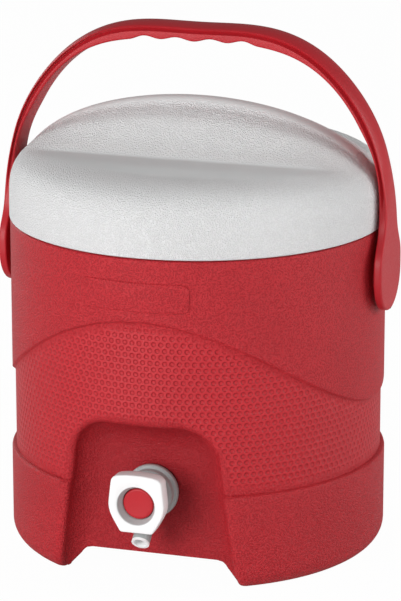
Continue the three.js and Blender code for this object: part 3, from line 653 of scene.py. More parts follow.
# %% [markdown]
# A low plain panel stands on the front of the housing, with rounded ends and edges. Its loops are
# counted in angle and height, so the panel is bent with the wall and stands out evenly. The loops
# step in and up over its edge, which rounds it.

# %% The front panel
PANEL_LEFT, PANEL_RIGHT = -0.335, 0.27
PANEL_MIDDLE, PANEL_HALF, PANEL_CORNER = 181.0, 9.0, 5.0
PANEL_LOOPS = ((0.0, -1.5), (0.0, -0.1), (0.25, 0.35), (0.6, 0.6), (1.2, 0.7))
PANEL_STEPS = 90
LEAST_REACH = 0.4


def panel_loop(inset, lift):
    """One loop round the panel, moved in from its outline and lifted off the wall."""
    loop = []
    end_left, end_right = PANEL_LEFT + inset / BODY_RADIUS, PANEL_RIGHT - inset / BODY_RADIUS
    for way in (1, -1):
        for step in range(PANEL_STEPS + 1):
            share = (1 - math.cos(math.pi * step / PANEL_STEPS)) / 2
            angle = PANEL_LEFT + (PANEL_RIGHT - PANEL_LEFT) * (share if way > 0 else 1 - share)
            angle = min(max(angle, end_left), end_right)
            short = max(PANEL_CORNER - BODY_RADIUS * min(angle - PANEL_LEFT, PANEL_RIGHT - angle), 0)
            curve = math.sqrt(max(PANEL_CORNER ** 2 - short ** 2, 0))
            reach = max(PANEL_HALF - PANEL_CORNER + curve - inset, LEAST_REACH)
            loop.append(around(BODY_RADIUS + lift, angle, PANEL_MIDDLE - way * reach))
    return loop


def front_panel():
    points, faces = stitch([panel_loop(inset, lift) for inset, lift in PANEL_LOOPS], capped=False)
    last = 2 * PANEL_STEPS + 1
    for start in (0, len(points) - last - 1):
        end = start + last
        faces += [(start + i, start + i + 1, end - 1 - i, end - i) for i in range(PANEL_STEPS)]
    return make_piece("front_panel", points, faces)


combine(housing, front_panel(), "UNION")
print("housing faces with the panel:", len(housing.data.polygons))

# %% [markdown]
# Dimples cover the sunk band only, and stop a few millimetres short of every edge of it. The share
# of dimple at each point of the mesh is worked out from the same outlines that made the shape, so
# nothing has to be painted by hand. A second share is painted shade: it deepens the red in the
# recess.

# %% Store where the dimples are
ABOVE_RING, UNDER_WAVE, BESIDE_RECESS = (63.0, 65.0), (-4.4, -3.0), (4.8, 6.6)
OUTER_SKIN = 111.5
SHADE_EDGE, SHADE_HEIGHTS, LEAST_SHADE = (-1.0, -9.0), (45.0, 92.0), 0.55


def recess_distance(x, z):
    """The distance from the recess's outline, in millimetres, negative inside it."""
    side, above = abs(x) - recess_half(z), z - RECESS_TOP
    if side > -RECESS_CORNER and above > -RECESS_CORNER:
        return math.hypot(side + RECESS_CORNER, above + RECESS_CORNER) - RECESS_CORNER
    return max(side, above)


def dimple_share(point):
    """1 where the wall is dimpled, 0 elsewhere, with a short fade between."""
    x, y, z = point / MM
    if math.hypot(x, y) <= OUTER_SKIN:
        return 0.0
    under_wave = 1 - smooth_step(*UNDER_WAVE, z - wave_height(math.atan2(x, -y)))
    beside = smooth_step(*BESIDE_RECESS, recess_distance(x, z)) if y < 0 else 1
    return smooth_step(*ABOVE_RING, z) * under_wave * beside


def recess_painted_shade(point):
    """Painted shade: 1 on the recess's back wall and less toward its rim; deepest under its top."""
    x, y, z = point / MM
    if y > -80 or math.hypot(x, y) > OUTER_SKIN + 1 or z > RECESS_TOP + 1:
        return 0.0
    deepest = LEAST_SHADE + (1 - LEAST_SHADE) * smooth_step(*SHADE_HEIGHTS, z)
    return smooth_step(*SHADE_EDGE, recess_distance(x, z)) * deepest


def store_share(piece, name, rule):
    stored = piece.data.attributes.new(name, "FLOAT", "POINT")
    stored.data.foreach_set("value", [rule(vertex.co) for vertex in piece.data.vertices])


store_share(housing, "dimple_share", dimple_share)
# Painted shade in the recess.
store_share(housing, "recess_painted_shade", recess_painted_shade)
print("shares stored for points:", len(housing.data.vertices))

# %% [markdown]
# Every finished piece needs three things: its finish, the body it moves with, and the solid whose
# place it takes. One helper does them all. The housing is first: it stands still, and the handle, the
# button and the lid move on it.

# %% Dress the housing
def dress(piece, material, body, node):
    """Gives a piece its finish, lets it ride on a body and puts it in place of a solid."""
    piece.data.materials.clear()
    piece.data.materials.append(material)
    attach(piece, body)
    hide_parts(node)


dress(housing, RED_HOUSING, "housing", "outer_shell")
print("finish of the housing:", housing.data.materials[0].name)

# %% [markdown]
# The lid is a low dome with a grip ridge across it and a flat finger hollow on each side. Its height
# is a plain sum over x and y: the dome, the lowered floor and the ridge, whose foot is a soft bend.
# As a sum, each part can be changed without drawing the others again.

# %% The lid's heights
LID_RADIUS, LID_BASE, LID_RISE = 115.3, 204.3, 45.0
LID_SQUARENESS = 5.4
CREASE_Y, FLANK_TOP_Y = 29.0, 11.0
FLOOR_HEIGHT, FLOOR_DIP = 42.4, 2.0
DIP_START, DIP_FULL, DIP_END = CREASE_Y - 1.5, CREASE_Y + 4.5, 66
RIDGE_HALF, FADE_POWER = 107.0, 0.85
SOFT_BEND = 1.2
RIDGE_STEPS = (
    (0, 28.4), (3.5, 28.0), (6.5, 26.6), (8.6, 24.3), (9.6, 22.9), (11, 22.2), (17.5, 18.4),
    (24.6, 7.25), (26.6, 4.5), (28.4, 2.4), (30.0, 0.95), (31.4, 0.25), (33, 0),
)


def dome_height(radius):
    share = min(radius / LID_RADIUS, 1)
    return LID_RISE * (1 - share ** LID_SQUARENESS) ** (1 / LID_SQUARENESS)


def ridge_profile(across):
    """The ridge's height over the dome at its middle, this far from its centre line."""
    for (near, high), (far, low) in zip(RIDGE_STEPS, RIDGE_STEPS[1:]):
        if across <= far:
            return high + (low - high) * (across - near) / (far - near)
    return 0.0


def soft_lower(a, b):
    """The lower of two heights, with a soft bend where they meet."""
    return (a + b - math.hypot(a - b, SOFT_BEND)) / 2


def lid_height(x, y):
    across = abs(y)
    fade = (1 - min(abs(x) / RIDGE_HALF, 1) ** 2) ** FADE_POWER
    dome = dome_height(math.hypot(x, y))
    dip = smooth_step(DIP_START, DIP_FULL, across) * (1 - smooth_step(DIP_FULL, DIP_END, across))
    lowered = dome - soft_lower(dome, FLOOR_HEIGHT - FLOOR_DIP * dip)
    kept = min(max((CREASE_Y - across) / (CREASE_Y - FLANK_TOP_Y), 0), 1)
    return LID_BASE + dome - lowered * (1 - kept) + ridge_profile(across) * fade


print("height of the ridge's middle in mm:", round(lid_height(0, 0), 1))

# %% [markdown]
# The top is laid in rows along X, the way the ridge runs, with a row on each of its edges: on a round
# grid they would look like a saw blade. The side is a stack of rings that hang from the border of
# the top and follow a squarish curve down to the seam. A last step gives the skin its wall.

# %% The lid's skin
CREST_TURN = 0.66
CURVE_POWER = 2 / LID_SQUARENESS
CREST_RADIUS = LID_RADIUS * math.cos(CREST_TURN) ** CURVE_POWER
CREST_HEIGHT = LID_BASE + LID_RISE * math.sin(CREST_TURN) ** CURVE_POWER
FINER_ROWS = (1.8, 5.0, 7.6, 13, 15.2, 19.5, 22, 25.6, 27.5, 28.9, 30.4, 32, 34.4)
EVEN_ROWS, EVEN_FROM = 70, 36
ACROSS_STEPS, SIDE_RINGS = 150, 18
SIDE_END = 8
SEAM_LINE = ((115.3, 4.0), (115.3, 1.2), (115.1, 0.5), (114.5, 0.0))
LID_SHARP, LID_WALL = 34, 2.6


def lid_rows():
    """The Y values of the rows over the top, with rows on the ridge's edges."""
    fixed = [across for across, _ in RIDGE_STEPS] + list(FINER_ROWS)
    even = [CREST_RADIUS * math.sin(QUARTER_TURN * step / EVEN_ROWS) for step in range(EVEN_ROWS + 1)]
    positive = sorted(set(fixed + [y for y in even if y > EVEN_FROM]))
    return [-y for y in reversed(positive[1:])] + positive


def lay_top(points, faces):
    """Adds the rows over the top. Gives the border of the top as places in the list of points."""
    left, right = [], []
    for row, y in enumerate(lid_rows()):
        half = math.sqrt(max(CREST_RADIUS ** 2 - y * y, 0))
        start = len(points)
        for step in range(ACROSS_STEPS + 1):
            x = -half * math.cos(math.pi * step / ACROSS_STEPS)
            points.append((x, y, lid_height(x, y)))
        left.append(start)
        right.append(start + ACROSS_STEPS)
        if row:
            near = start - ACROSS_STEPS - 1
            faces += [(near + k, near + k + 1, start + k + 1, start + k) for k in range(ACROSS_STEPS)]
    return right + left[1:-1][::-1]


def hang_ring(points, faces, above, places):
    """Adds a ring of points and joins it to the ring above it."""
    ring = list(range(len(points), len(points) + len(places)))
    points += places
    faces += zip(above, above[1:] + above[:1], ring[1:] + ring[:1], ring)
    return ring


def lid_skin():
    points, faces = [], []
    border = ring = lay_top(points, faces)
    angles = [math.atan2(points[index][0], -points[index][1]) for index in border]
    extras = [points[index][2] - CREST_HEIGHT for index in border]
    for step in range(1, SIDE_RINGS + 1):
        turn = CREST_TURN * (1 - step / SIDE_RINGS)
        radius = LID_RADIUS * math.cos(turn) ** CURVE_POWER
        drop = LID_BASE + (LID_RISE * math.sin(turn) ** CURVE_POWER if turn > 0 else SIDE_END)
        kept = (turn / CREST_TURN) ** 3
        places = [around(radius, angle, drop + extra * kept) for angle, extra in zip(angles, extras)]
        ring = hang_ring(points, faces, ring, places)
    for radius, height in SEAM_LINE:
        places = [around(radius, angle, LID_BASE + height) for angle in angles]
        ring = hang_ring(points, faces, ring, places)
    return make_piece("lid", points, faces, LID_SHARP)


def thicken(piece, thickness):
    """Gives a skin a wall that grows inward."""
    step = piece.modifiers.new("wall", "SOLIDIFY")
    step.thickness = thickness * MM
    step.offset = -1
    apply_modifiers(piece)


lid = lid_skin()
thicken(lid, LID_WALL)
print("lid faces:", len(lid.data.polygons))

# %% [markdown]
# Two parts of the lid have no grain, where hands hold it: a band along the ridge's top and the
# finger hollows. The mesh stores how grained each point is, and the finish reads it; the same share,
# turned round, paints shade there. The fade between is short, as at the edge of a polished part of a
# mould.

# %% The lid's smooth parts
BAND_EDGE, HOLLOW_EDGE, RIDGE_END = (5.5, 9.0), (0.75, 1.05), (95, 104)
HOLLOW_LONG, HOLLOW_WIDE, HOLLOW_LOW = 100.0, 62.0, 34
RIM_START = 100


def grain_share(point):
    """0 on the band along the ridge's top and in the finger hollows, 1 elsewhere."""
    x, y, z = point / MM
    across = abs(y)
    band = smooth_step(*BAND_EDGE, across)
    reach = math.hypot(x / HOLLOW_LONG, (across - CREASE_Y) / HOLLOW_WIDE)
    past_foot = smooth_step(CREASE_Y - 1, CREASE_Y + 5, across) if z > LID_BASE + HOLLOW_LOW else 0
    hollow = 1 - past_foot * (1 - smooth_step(*HOLLOW_EDGE, reach))
    ridge_end = smooth_step(*RIDGE_END, abs(x)) if math.hypot(x, y) > RIM_START else 0
    return max(min(band, hollow), ridge_end)


store_share(lid, "grain_share", grain_share)
# Painted shade on the polished parts, less red to cancel the handle's red reflection.
store_share(lid, "second_colour_share", lambda point: 1 - grain_share(point))
dress(lid, WHITE_LID, "lid", "lid_shell")
print("points on smooth parts:", sum(grain_share(vertex.co) < 0.5 for vertex in lid.data.vertices))

# %% [markdown]
# The handle is a plastic strap that arches over the lid and widens into a round paddle at each end.
# It needs two things to be built as a skin over sections: a path, and how wide and thick the strap
# is at each place on it. The grip is thicker, and four finger grooves lie in its underside.

# %% The handle's path
HANDLE_HALF = 122.0
ARCH_START, HANDLE_TOP = 205.0, 322.4
BAND_HALF = 10.9
PADDLE_RADIUS, PADDLE_HEIGHT, PADDLE_NECK = 23.5, 177.3, 21
ARCH_WAVES = (1.043, -0.0082, -0.0364, 0.0082, -0.0066)
PADDLE_STEPS, ARM_STEPS, ARCH_STEPS = 24, 16, 96
STRAP, ARM_EXTRA, GRIP_EXTRA = 5.0, 2.0, 3.0
FINGER_STEP, FINGERS_END, FINGER_DEEP = 21, 42, 1.9
ARM_GROWS, GRIP_END = (109, 121.8), 100


def arch_point(turn):
    """A point of the arch's outer line. Its reach is a short sum of waves, so that it has no corner."""
    reach = sum(share * math.cos(2 * wave * turn) for wave, share in enumerate(ARCH_WAVES))
    rise = (HANDLE_TOP - ARCH_START) * reach * math.sin(turn)
    return HANDLE_HALF * reach * math.cos(turn), ARCH_START + rise


def strap_half(height):
    """Half the strap's width above the middle of the paddle."""
    return BAND_HALF + (PADDLE_RADIUS - BAND_HALF) / (1 + ((height - PADDLE_HEIGHT) / PADDLE_NECK) ** 4)


def handle_stations():
    """Half of the handle's outer line, as x, z and the half width of the strap there."""
    stations = []
    for turn in rows(0, QUARTER_TURN, PADDLE_STEPS):
        low = PADDLE_RADIUS * math.cos(turn)
        stations.append((HANDLE_HALF, PADDLE_HEIGHT - low, PADDLE_RADIUS * math.sin(turn)))
    line = [(HANDLE_HALF, height) for height in rows(PADDLE_HEIGHT, ARCH_START, ARM_STEPS)]
    line += [arch_point(QUARTER_TURN * step / ARCH_STEPS) for step in range(ARCH_STEPS + 1)]
    return stations + [(x, z, strap_half(z)) for x, z in line]


def strap_thickness(x):
    arm = 1 - smooth_step(*ARM_GROWS, abs(x))
    grip = 1 - smooth_step(FINGERS_END, GRIP_END, abs(x))
    finger = (1 - math.cos(FULL_TURN * x / FINGER_STEP)) / 2 if abs(x) < FINGERS_END else 0
    return STRAP + ARM_EXTRA * arm + GRIP_EXTRA * grip - FINGER_DEEP * finger


print("thickness of the strap at arm and grip in mm:", strap_thickness(115), strap_thickness(0))

# %% [markdown]
# Each section is a rectangle with rounded corners, a slightly domed outer face and a groove in both
# sides just under that face. The groove makes the dark line that follows the arch. Where the strap
# ends, the section is turned flat, which closes the paddle's round edge.

# %% The handle's skin
ROUNDING = 1.2
UNDERSIDE_REST = 8.0
GROOVE_DEEP, GROOVE_TOP, GROOVE_END = 2.7, 1.2, 5.2
GROOVE_LINE = ((1, 0.0), (0.84, 0.35), (0.66, 0.8), (0.45, 1.0), (0.25, 0.95), (0.1, 0.6), (0.0, 0.1))
GROOVE_STARTS, CROWN_STARTS = (206, 232), (210, 250)
CROWN, CROWN_FADE = 2.0, 4.5
SOCKET_RADIUS, SOCKET_START, SOCKET_END = 6.2, 110.0, 119.9


def half_section(thickness, groove, width):
    """One side of a section as [inset from the side, depth] points, from the underside up."""
    arc = [QUARTER_TURN * step / 6 for step in range(7)]
    end = min(GROOVE_END, thickness - ROUNDING - 0.1)
    line = [(UNDERSIDE_REST, thickness)]
    line += [(ROUNDING * (1 - math.sin(a)), thickness - ROUNDING * (1 - math.cos(a))) for a in arc]
    line += [(groove * deep, GROOVE_TOP + (end - GROOVE_TOP) * share) for share, deep in GROOVE_LINE]
    line += [(ROUNDING * (1 - math.cos(a)), ROUNDING * (1 - math.sin(a))) for a in arc[1:]]
    return line + [(ROUNDING + (width - ROUNDING) * share, 0.0) for share in (0.2, 0.4, 0.6, 0.8)]


def strap_section(thickness, groove, width):
    """A whole section as [inset, depth, side] points, where the side is 1 or -1."""
    line = half_section(thickness, groove, width)
    right = [(inset, depth, 1) for inset, depth in line]
    left = [(inset, depth, -1) for inset, depth in reversed(line)]
    return left[-1:] + right + [(width, 0.0, -1)] + left[:-1]


def strap_ring(before, here, after, end_lean):
    """A section set across the path; end_lean is 1 or -1 at the path's ends and 0 between them."""
    x, z, width = here
    length = math.hypot(after[0] - before[0], after[1] - before[1])
    along_x, along_z = (after[0] - before[0]) / length, (after[1] - before[1]) / length
    widening = (after[2] - before[2]) / length
    out = 0.0 if end_lean else 1 / math.hypot(1, widening)
    lean = end_lean or widening * out
    crown = CROWN * smooth_step(*CROWN_STARTS, z)
    groove = GROOVE_DEEP * smooth_step(*GROOVE_STARTS, z)
    ring = []
    for inset, depth, side in strap_section(strap_thickness(x), groove, width):
        across = side * max(width - inset * out, 0.0)
        slide = min(inset, ROUNDING) * lean
        depth += crown * (across / max(width, 1.0)) ** 2 * max(1 - depth / CROWN_FADE, 0)
        up = z + along_z * slide - along_x * depth
        ring.append((x + along_x * slide + along_z * depth, across, up))
    return ring


def handle_skin():
    half = handle_stations()
    path = [(-x, z, w) for x, z, w in half] + [(x, z, w) for x, z, w in reversed(half[:-1])]
    befores, afters = path[:1] + path[:-1], path[1:] + path[-1:]
    leans = [1.0] + [0.0] * (len(path) - 2) + [-1.0]
    rings = [strap_ring(*stations) for stations in zip(befores, path, afters, leans)]
    return make_piece("handle", *stitch(rings), ROUND_SHARP)


handle = handle_skin()
for side in (1, -1):
    socket = laid_along_x(rod("pin_socket", SOCKET_RADIUS, SOCKET_START, SOCKET_END, 40), side)
    combine(handle, socket, "DIFFERENCE", ROUND_SHARP)
dress(handle, RED_HANDLE, "handle", "carry_handle")
print("handle faces:", len(handle.data.polygons))

# %% [markdown]
# The tap's head is a thick white block, shaped like a shield, with a funnel that leads a thumb to
# the button. Its outline is star-shaped about the button, so every loop of the skin has one point
# for each direction: the loops run from the bore over the funnel, the face, the edge and the back.

# %% The tap's head
HEAD_FRONT, HEAD_BACK = -120.6, -110.4
HEAD_LINE = (
    (0, 18.9), (5, 18.8), (9, 18.4), (12.2, 17.8), (13.8, 17.1), (15.0, 16.0), (15.7, 14.5),
    (16.0, 12.5), (16.5, 8), (17.1, 3), (17.3, 0), (17.0, -3), (16.1, -6.0), (14.7, -8.9),
    (12.8, -12.2), (11.2, -14.9), (10.4, -16.2), (9.8, -16.8), (8.8, -16.95), (4, -16.95), (0, -16.95),
)
FUNNEL_LINE = ((9.9, 10.2), (9.9, 4.6), (10.3, 4.0), (11.5, 0.7), (11.75, 0.25), (12.2, 0.0))
FRONT_EDGE, BACK_EDGE = 1.1, 1.0
FLAT_START, SIDE_END_BACK = 1.2, 1.5
SIDE_INSET, BACK_INSET = 0.15, 0.2
FACE_EDGE, FACE_DEPTH, SIDE_SHARE = (11.6, 12.1), (0.25, 0.9), 0.8
HEAD_DIRECTIONS = 160
HEAD_ANGLES = [QUARTER_TURN - FULL_TURN * step / HEAD_DIRECTIONS for step in range(HEAD_DIRECTIONS)]
TINY = 1e-9


def head_loop(inset):
    """The head's outline moved inward, as one [x, z] point for each direction from the button."""
    line = list(HEAD_LINE) + [(-x, z) for x, z in reversed(HEAD_LINE[1:-1])]
    loop = []
    for way_x, way_z in ((math.cos(angle), math.sin(angle)) for angle in HEAD_ANGLES):
        for (ax, az), (bx, bz) in zip(line, line[1:] + line[:1]):
            edge_x, edge_z = bx - ax, bz - az
            cross = way_x * edge_z - way_z * edge_x
            if abs(cross) < TINY:
                continue
            reach = (ax * edge_z - az * edge_x) / cross
            along = (ax * way_z - az * way_x) / cross
            if reach > 0 and -TINY <= along <= 1 + TINY:
                loop.append((way_x * (reach - inset), way_z * (reach - inset)))
                break
    return loop


def round_loop(radius):
    return [(radius * math.cos(angle), radius * math.sin(angle)) for angle in HEAD_ANGLES]


def head_skin():
    loops = [(round_loop(radius), HEAD_FRONT + deep) for radius, deep in FUNNEL_LINE]
    loops.append((head_loop(FRONT_EDGE + FLAT_START), HEAD_FRONT))
    for turn in (QUARTER_TURN * step / 6 for step in range(7)):
        front = HEAD_FRONT + FRONT_EDGE * (1 - math.cos(turn))
        loops.append((head_loop(FRONT_EDGE * (1 - math.sin(turn))), front))
    loops.append((head_loop(SIDE_INSET), HEAD_BACK - BACK_EDGE - SIDE_END_BACK))
    for turn in (QUARTER_TURN * step / 3 for step in range(4)):
        back = HEAD_BACK - BACK_EDGE * (1 - math.sin(turn))
        loops.append((head_loop(BACK_INSET + BACK_EDGE * (1 - math.cos(turn))), back))
    rings = [[(x, y, TAP_HEIGHT + z) for x, z in loop] for loop, y in loops]
    return make_piece("tap_front", *stitch(rings, capped=False, looped=True))


def face_share(point):
    """1 on the head's flat front face, a little less on its sides and 0 in its funnel; where it is
    less, the head gets painted shade.
    """
    x, y, z = point / MM
    from_button = math.hypot(x, z - TAP_HEIGHT)
    front = 1 - smooth_step(*FACE_DEPTH, y - HEAD_FRONT)
    return smooth_step(*FACE_EDGE, from_button) * (SIDE_SHARE + (1 - SIDE_SHARE) * front)


tap_front = head_skin()
# The head's sides and funnel get painted shade; its front face stays white.
store_share(tap_front, "second_colour_share", face_share)
dress(tap_front, HEAD_TAP, "housing", "tap_head")
print("tap head faces:", len(tap_front.data.polygons))

# %% [markdown]
# Behind the head the tap is turned: a flange that presses a washer against the recess's wall, a
# collar and the barrel. Turned pieces get small roundings at every edge, because a moulded edge
# always catches a thin line of light. A small curve takes the place of each corner of the profile.

# %% The tap's body
FLANGE_BACK = -88.4
EDGE_ROUNDING, EDGE_STEPS = 0.5, 3
SPOUT_TILT = math.radians(40)
SPOUT_Y, SPOUT_HEIGHT = -112.6, 28.9
SPOUT_RADIUS, SPOUT_BORE = 5.4, 3.9
BARREL_LINE = (
    (2.3, -95.5), (2.3, -97.5), (4.9, -97.5), (4.9, -100.1), (9.9, -100.1), (9.9, -110.1),
    (12.2, -110.1), (12.2, -96.4), (14.2, -95.6), (14.2, -91.8), (15.4, -91.6), (16.4, -90.9),
    (16.4, FLANGE_BACK), (8.2, FLANGE_BACK), (8.2, -59.2), (7.0, -59.2), (7.0, -69.7), (5.0, -69.7),
    (5.0, -95.5), (2.3, -95.5),
)


def eased(profile):
    """A profile with each of its inner corners replaced by a small curve."""
    line = [profile[0]]
    for before, corner, after in zip(profile, profile[1:], profile[2:]):
        a, b, c = Vector(before), Vector(corner), Vector(after)
        near = min(EDGE_ROUNDING, (a - b).length * 0.45, (c - b).length * 0.45)
        start, end = b + (a - b).normalized() * near, b + (c - b).normalized() * near
        for step in range(EDGE_STEPS + 1):
            t = step / EDGE_STEPS
            line.append(tuple(start * (1 - t) ** 2 + b * 2 * t * (1 - t) + end * t ** 2))
    return line + [profile[-1]]


def turned(name, profile, columns=96, looped=False):
    """A solid with rounded edges, turned about Z: closed at its ends, or round like a ring."""
    rings = turned_rings(eased(profile), columns)
    return make_piece(name, *stitch(rings, capped=not looped, looped=looped))


def slanted(name, radius, *places):
    """A cylinder along the spout, with a ring at each of these distances back from its outlet."""
    made = plain_turned(name, [(radius, place) for place in places], 64)
    for vertex in made.data.vertices:
        x, y, z = vertex.co / MM
        back = math.cos(SPOUT_TILT) * z + math.sin(SPOUT_TILT) * y
        up = math.sin(SPOUT_TILT) * z - math.cos(SPOUT_TILT) * y
        vertex.co = Vector((x, back + SPOUT_Y, up + SPOUT_HEIGHT)) * MM
    return made


barrel = laid_along_y(turned("tap_barrel", BARREL_LINE, looped=True))
combine(barrel, slanted("outlet", SPOUT_BORE, -2.0, 26.0), "DIFFERENCE")
dress(barrel, GREY_TAP, "housing", "tap_body")
print("tap body faces:", len(barrel.data.polygons))

# %% [markdown]
# The spout is a short slanting tube. It is made too long, and the room that the barrel takes is cut
# out of it, so that it follows the barrel all round. Its rim is rounded with a bevel, which finds
# the sharp edges by their angle. A stored share makes the rim lighter than the tube.

# %% The spout
BARREL_SPACE = (
    (0.1, -111.0), (12.5, -111.0), (12.5, -96.6), (14.5, -95.9), (14.5, -92.0), (16.7, -91.2),
    (16.7, -84.0), (0.1, -84.0),
)
RIM_ROUNDING, RIM_SEGMENTS, RIM_ANGLE = 0.45, 3, 50
PALE_END = (0.95, 1.35)


def tap_spout():
    tube = slanted("tap_outlet", SPOUT_RADIUS, 0.0, 0.9, 1.4, 26.0)
    combine(tube, laid_along_y(plain_turned("barrel_space", BARREL_SPACE)), "DIFFERENCE")
    combine(tube, slanted("spout_bore", SPOUT_BORE, -4.0, 40.0), "DIFFERENCE")
    rim = tube.modifiers.new("rim", "BEVEL")
    rim.width = RIM_ROUNDING * MM
    rim.segments = RIM_SEGMENTS
    rim.limit_method = "ANGLE"
    rim.angle_limit = math.radians(RIM_ANGLE)
    smooth_mesh(apply_modifiers(tube), RIM_ANGLE)
    return tube


def outlet_share(point):
    """1 on the spout's rim and 0 from a little way up its tube."""
    x, y, z = point / MM
    along = math.cos(SPOUT_TILT) * (y - SPOUT_Y) + math.sin(SPOUT_TILT) * (z - SPOUT_HEIGHT)
    return 1 - smooth_step(*PALE_END, along)


spout = tap_spout()
store_share(spout, "second_colour_share", outlet_share)
dress(spout, GREY_TAP, "housing", "tap_spout")
print("spout faces:", len(spout.data.polygons))

# %% [markdown]
# The button is a red cup with a slightly dished face. It slides in the head's bore with a thin dark
# gap round it, so its skirt is modelled too: without it the gap would show light from behind.

# %% The push button
BUTTON_FRONT = -116.2
BUTTON_LINE = (
    (0.01, 0.35), (3.0, 0.3), (6.5, 0.12), (8.6, 0.0), (9.5, 0.7), (9.5, 9.6), (7.9, 9.6),
    (7.9, 2.6), (3.6, 2.6), (3.6, 6.6), (2.3, 6.6), (2.3, 3.6), (0.01, 3.6),
)

button = laid_along_y(turned("button", [(radius, BUTTON_FRONT + deep) for radius, deep in BUTTON_LINE]))
dress(button, RED_BUTTON, "push_button", "tap_button")
print("button faces:", len(button.data.polygons))

# %% [markdown]
# A steel spring behind the button pushes it back out. Such a spring is wire wound on a rod, so its
# skin is a small round section carried along a helix. It moves with the button.

# %% The return spring
SPRING_RADIUS, WIRE_RADIUS, WIRE_CORNERS = 5.1, 0.6, 10
SPRING_TURNS, TURN_STEPS = 4, 40
spring_box = [[value / MM for value in corner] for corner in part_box("return_spring")]


def spring_coil(near, far, middle):
    """A coil along Y between near and far, round the height middle."""
    rings = []
    for step in range(SPRING_TURNS * TURN_STEPS + 1):
        share = step / (SPRING_TURNS * TURN_STEPS)
        turn = FULL_TURN * SPRING_TURNS * share
        y = near + WIRE_RADIUS + (far - near - 2 * WIRE_RADIUS) * share
        ring = []
        for angle in (FULL_TURN * corner / WIRE_CORNERS for corner in range(WIRE_CORNERS)):
            reach, past = SPRING_RADIUS + WIRE_RADIUS * math.cos(angle), WIRE_RADIUS * math.sin(angle)
            ring.append((reach * math.cos(turn), y + past, middle + reach * math.sin(turn)))
        rings.append(ring)
    return make_piece("coil_spring", *stitch(rings), ROUND_SHARP)


spring_near, spring_far = spring_box[0][1], spring_box[1][1]
spring_middle = (spring_box[0][2] + spring_box[1][2]) / 2
spring = spring_coil(spring_near, spring_far, spring_middle)
dress(spring, STEEL, "push_button", "return_spring")
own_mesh(spring)

# %% [markdown]
# The base cover closes the foam room from below, and a plug closes the port that the foam came
# through. Nobody sees them in the photograph, but the cooler gets lifted, so they are turned again
# with round edges instead of keeping the plain solids.

# %% The underside
COVER_TOP = UNDERSIDE + 2.8
DISH = UNDERSIDE - 3
PLUG_TOP = UNDERSIDE - 0.3
COVER_LINE = (
    (9.0, UNDERSIDE), (52.5, UNDERSIDE), (52.5, DISH), (55.0, DISH), (55.0, UNDERSIDE),
    (82.0, UNDERSIDE), (82.0, COVER_TOP), (9.0, COVER_TOP), (9.0, UNDERSIDE),
)
PLUG_LINE = (
    (0.01, PLUG_TOP - 2), (10.5, PLUG_TOP - 2), (12.0, PLUG_TOP - 1.2), (12.0, PLUG_TOP),
    (8.7, PLUG_TOP), (8.7, COVER_TOP), (0.01, COVER_TOP),
)

cover = turned("bottom_cover", COVER_LINE, 140, looped=True)
dress(cover, RED_HOUSING, "housing", "base_cover")
plug = turned("port_plug", PLUG_LINE, 64)
dress(plug, RED_HOUSING, "housing", "foam_port_plug")
print("cover and plug faces:", len(cover.data.polygons), len(plug.data.polygons))

# %% [markdown]
# The solids that stay as they are sit inside the cooler or behind its tap. They keep their shape
# from the frame and only get a finish, so that an opened or taken-apart cooler looks right too.

# %% Finishes of the solids that stay
CARRIED = {
    "tank_liner": WHITE_LINER, "lid_pan": WHITE_LINER,
    "pivot_bushing_left": WHITE_LINER, "pivot_bushing_right": WHITE_LINER,
    "body_foam": FOAM, "lid_foam": FOAM,
    "lid_gasket": RUBBER, "tap_outer_washer": RUBBER, "tap_inner_washer": RUBBER,
    "tap_valve_seal": RUBBER, "tap_stem_seal": RUBBER,
    "tap_stem": WHITE_TAP, "tap_back_nut": WHITE_TAP,
    "pivot_pin_left": RED_HANDLE, "pivot_pin_right": RED_HANDLE,
}
for node, material in CARRIED.items():
    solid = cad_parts[node]
    solid.data.materials.clear()
    solid.data.materials.append(material)
print("solids that stay:", len(CARRIED))

# %% [markdown]
# The photograph shows the cooler on white. A large floor and a white sky give that. What the camera
# sees is pure white, while the light that falls on the cooler is much weaker: a bright sky would lay
# a pale sheen over the red and fill the small shadows of its grain. The floor keeps a trace of shadow.

# %% Floor and sky
WHITE, PALE = (1, 1, 1, 1), (0.85, 0.85, 0.85, 1)
FLOOR_SIDE, GROUND_LEVEL = 3000.0, -0.3
FLOOR_GLOW, SKY_LIGHT = 0.98, 0.21


def white_floor():
    ways = ((-1, -1), (1, -1), (1, 1), (-1, 1))
    corners = [(x * FLOOR_SIDE, y * FLOOR_SIDE, GROUND_LEVEL) for x, y in ways]
    floor = make_piece("floor", corners, [(0, 1, 2, 3)])
    finish = Finish("pale_floor", 0.8, Base_Color=PALE)
    lit = Wire(finish, finish.shader.outputs[0])
    glow = finish.node("ShaderNodeEmission", inputs={"Color": WHITE, "Strength": 1.0})
    seen = finish.node("ShaderNodeLightPath", output="Is Camera Ray") * FLOOR_GLOW
    shown = finish.node("ShaderNodeMixShader", inputs={0: seen, 1: lit, 2: glow})
    finish.tree.links.new(shown.socket, finish.tree.nodes["Material Output"].inputs["Surface"])
    floor.data.materials.append(finish.material)


def white_sky():
    world = bpy.data.worlds.new("studio_sky")
    world.use_nodes = True
    bpy.context.scene.world = world
    board = Board(world.node_tree)
    seen = board.node("ShaderNodeLightPath", output="Is Camera Ray")
    range_inputs = {"Value": seen, "To Min": SKY_LIGHT, "To Max": 1.0}
    strength = board.node("ShaderNodeMapRange", inputs=range_inputs)
    background = board.tree.nodes["Background"]
    background.inputs["Color"].default_value = WHITE
    board.tree.links.new(strength.socket, background.inputs["Strength"])


white_floor()
white_sky()
print("light of the sky on the cooler:", SKY_LIGHT)

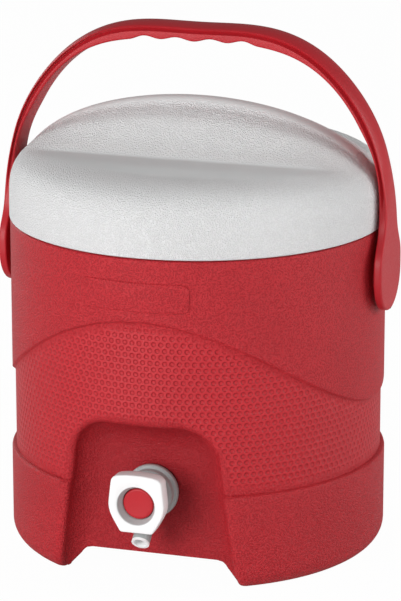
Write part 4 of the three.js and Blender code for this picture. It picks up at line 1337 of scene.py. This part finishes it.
# %% [markdown]
# Four soft lamps shape the cooler. They stand low, because the photograph's lid is brightest on its
# side and grey on top. The key is at the left front, a wide weak one fills the front, one lights the
# right side from slightly behind, and a small one gives the left edge its pale line.

# %% Lamps
TARGET = Vector((0, 0, 0.15))
LAMPS = {
    "key_lamp": ((-0.73, -1.80, 0.58), 1.1, 1.1, 27.5),
    "fill_lamp": ((1.40, -1.40, 0.43), 1.4, 1.4, 6),
    "side_lamp": ((1.75, 0.50, 0.70), 1.0, 1.2, 18),
    "edge_lamp": ((-1.58, 0.98, 0.55), 1.0, 1.0, 7),
}


def soft_lamp(name, place, width, height, watts):
    """A large flat lamp, in metres, that faces the cooler's middle."""
    light = bpy.data.lights.new(name, "AREA")
    light.shape = "RECTANGLE"
    light.size, light.size_y = width, height
    light.energy = watts
    lamp = bpy.data.objects.new(name, light)
    lamp.location = place
    lamp.rotation_euler = (TARGET - Vector(place)).to_track_quat("-Z", "Y").to_euler()
    bpy.context.scene.collection.objects.link(lamp)


for name, values in LAMPS.items():
    soft_lamp(name, *values)
print("lamps:", len(LAMPS), "watts together:", sum(values[-1] for values in LAMPS.values()))

# %% [markdown]
# The camera stands where the photographer's did: a little to the right of the front and a little
# above the lid, far away with a long lens, which keeps the upright sides nearly parallel. Its lens
# follows from the length that was fitted in pixels, the sensor's height and the picture's height.

# %% Camera
AZIMUTH, ELEVATION = math.radians(17.82), math.radians(15.56)
DISTANCE = 2000.0
RIGHT_BY, UP_BY = 1.32, -1.14
PIXELS_LONG, PICTURE_HEIGHT = 3250.0, 601
SENSOR = 36.0


def photo_camera():
    level = math.cos(ELEVATION)
    back = Vector((math.sin(AZIMUTH) * level, -math.cos(AZIMUTH) * level, math.sin(ELEVATION)))
    right = Vector((math.cos(AZIMUTH), math.sin(AZIMUTH), 0))
    aside = right * RIGHT_BY + right.cross(-back) * UP_BY
    data = bpy.data.cameras.new("photo_camera")
    data.sensor_fit = "VERTICAL"
    data.sensor_height = SENSOR
    data.lens = SENSOR * PIXELS_LONG / PICTURE_HEIGHT
    camera = bpy.data.objects.new("photo_camera", data)
    camera.location = TARGET + (back * DISTANCE + aside) * MM
    camera.rotation_euler = (-back).to_track_quat("-Z", "Y").to_euler()
    bpy.context.scene.collection.objects.link(camera)
    bpy.context.scene.camera = camera
    return data.lens


print("lens in mm:", round(photo_camera(), 1))
bpy.context.scene.view_settings.view_transform = "Standard"
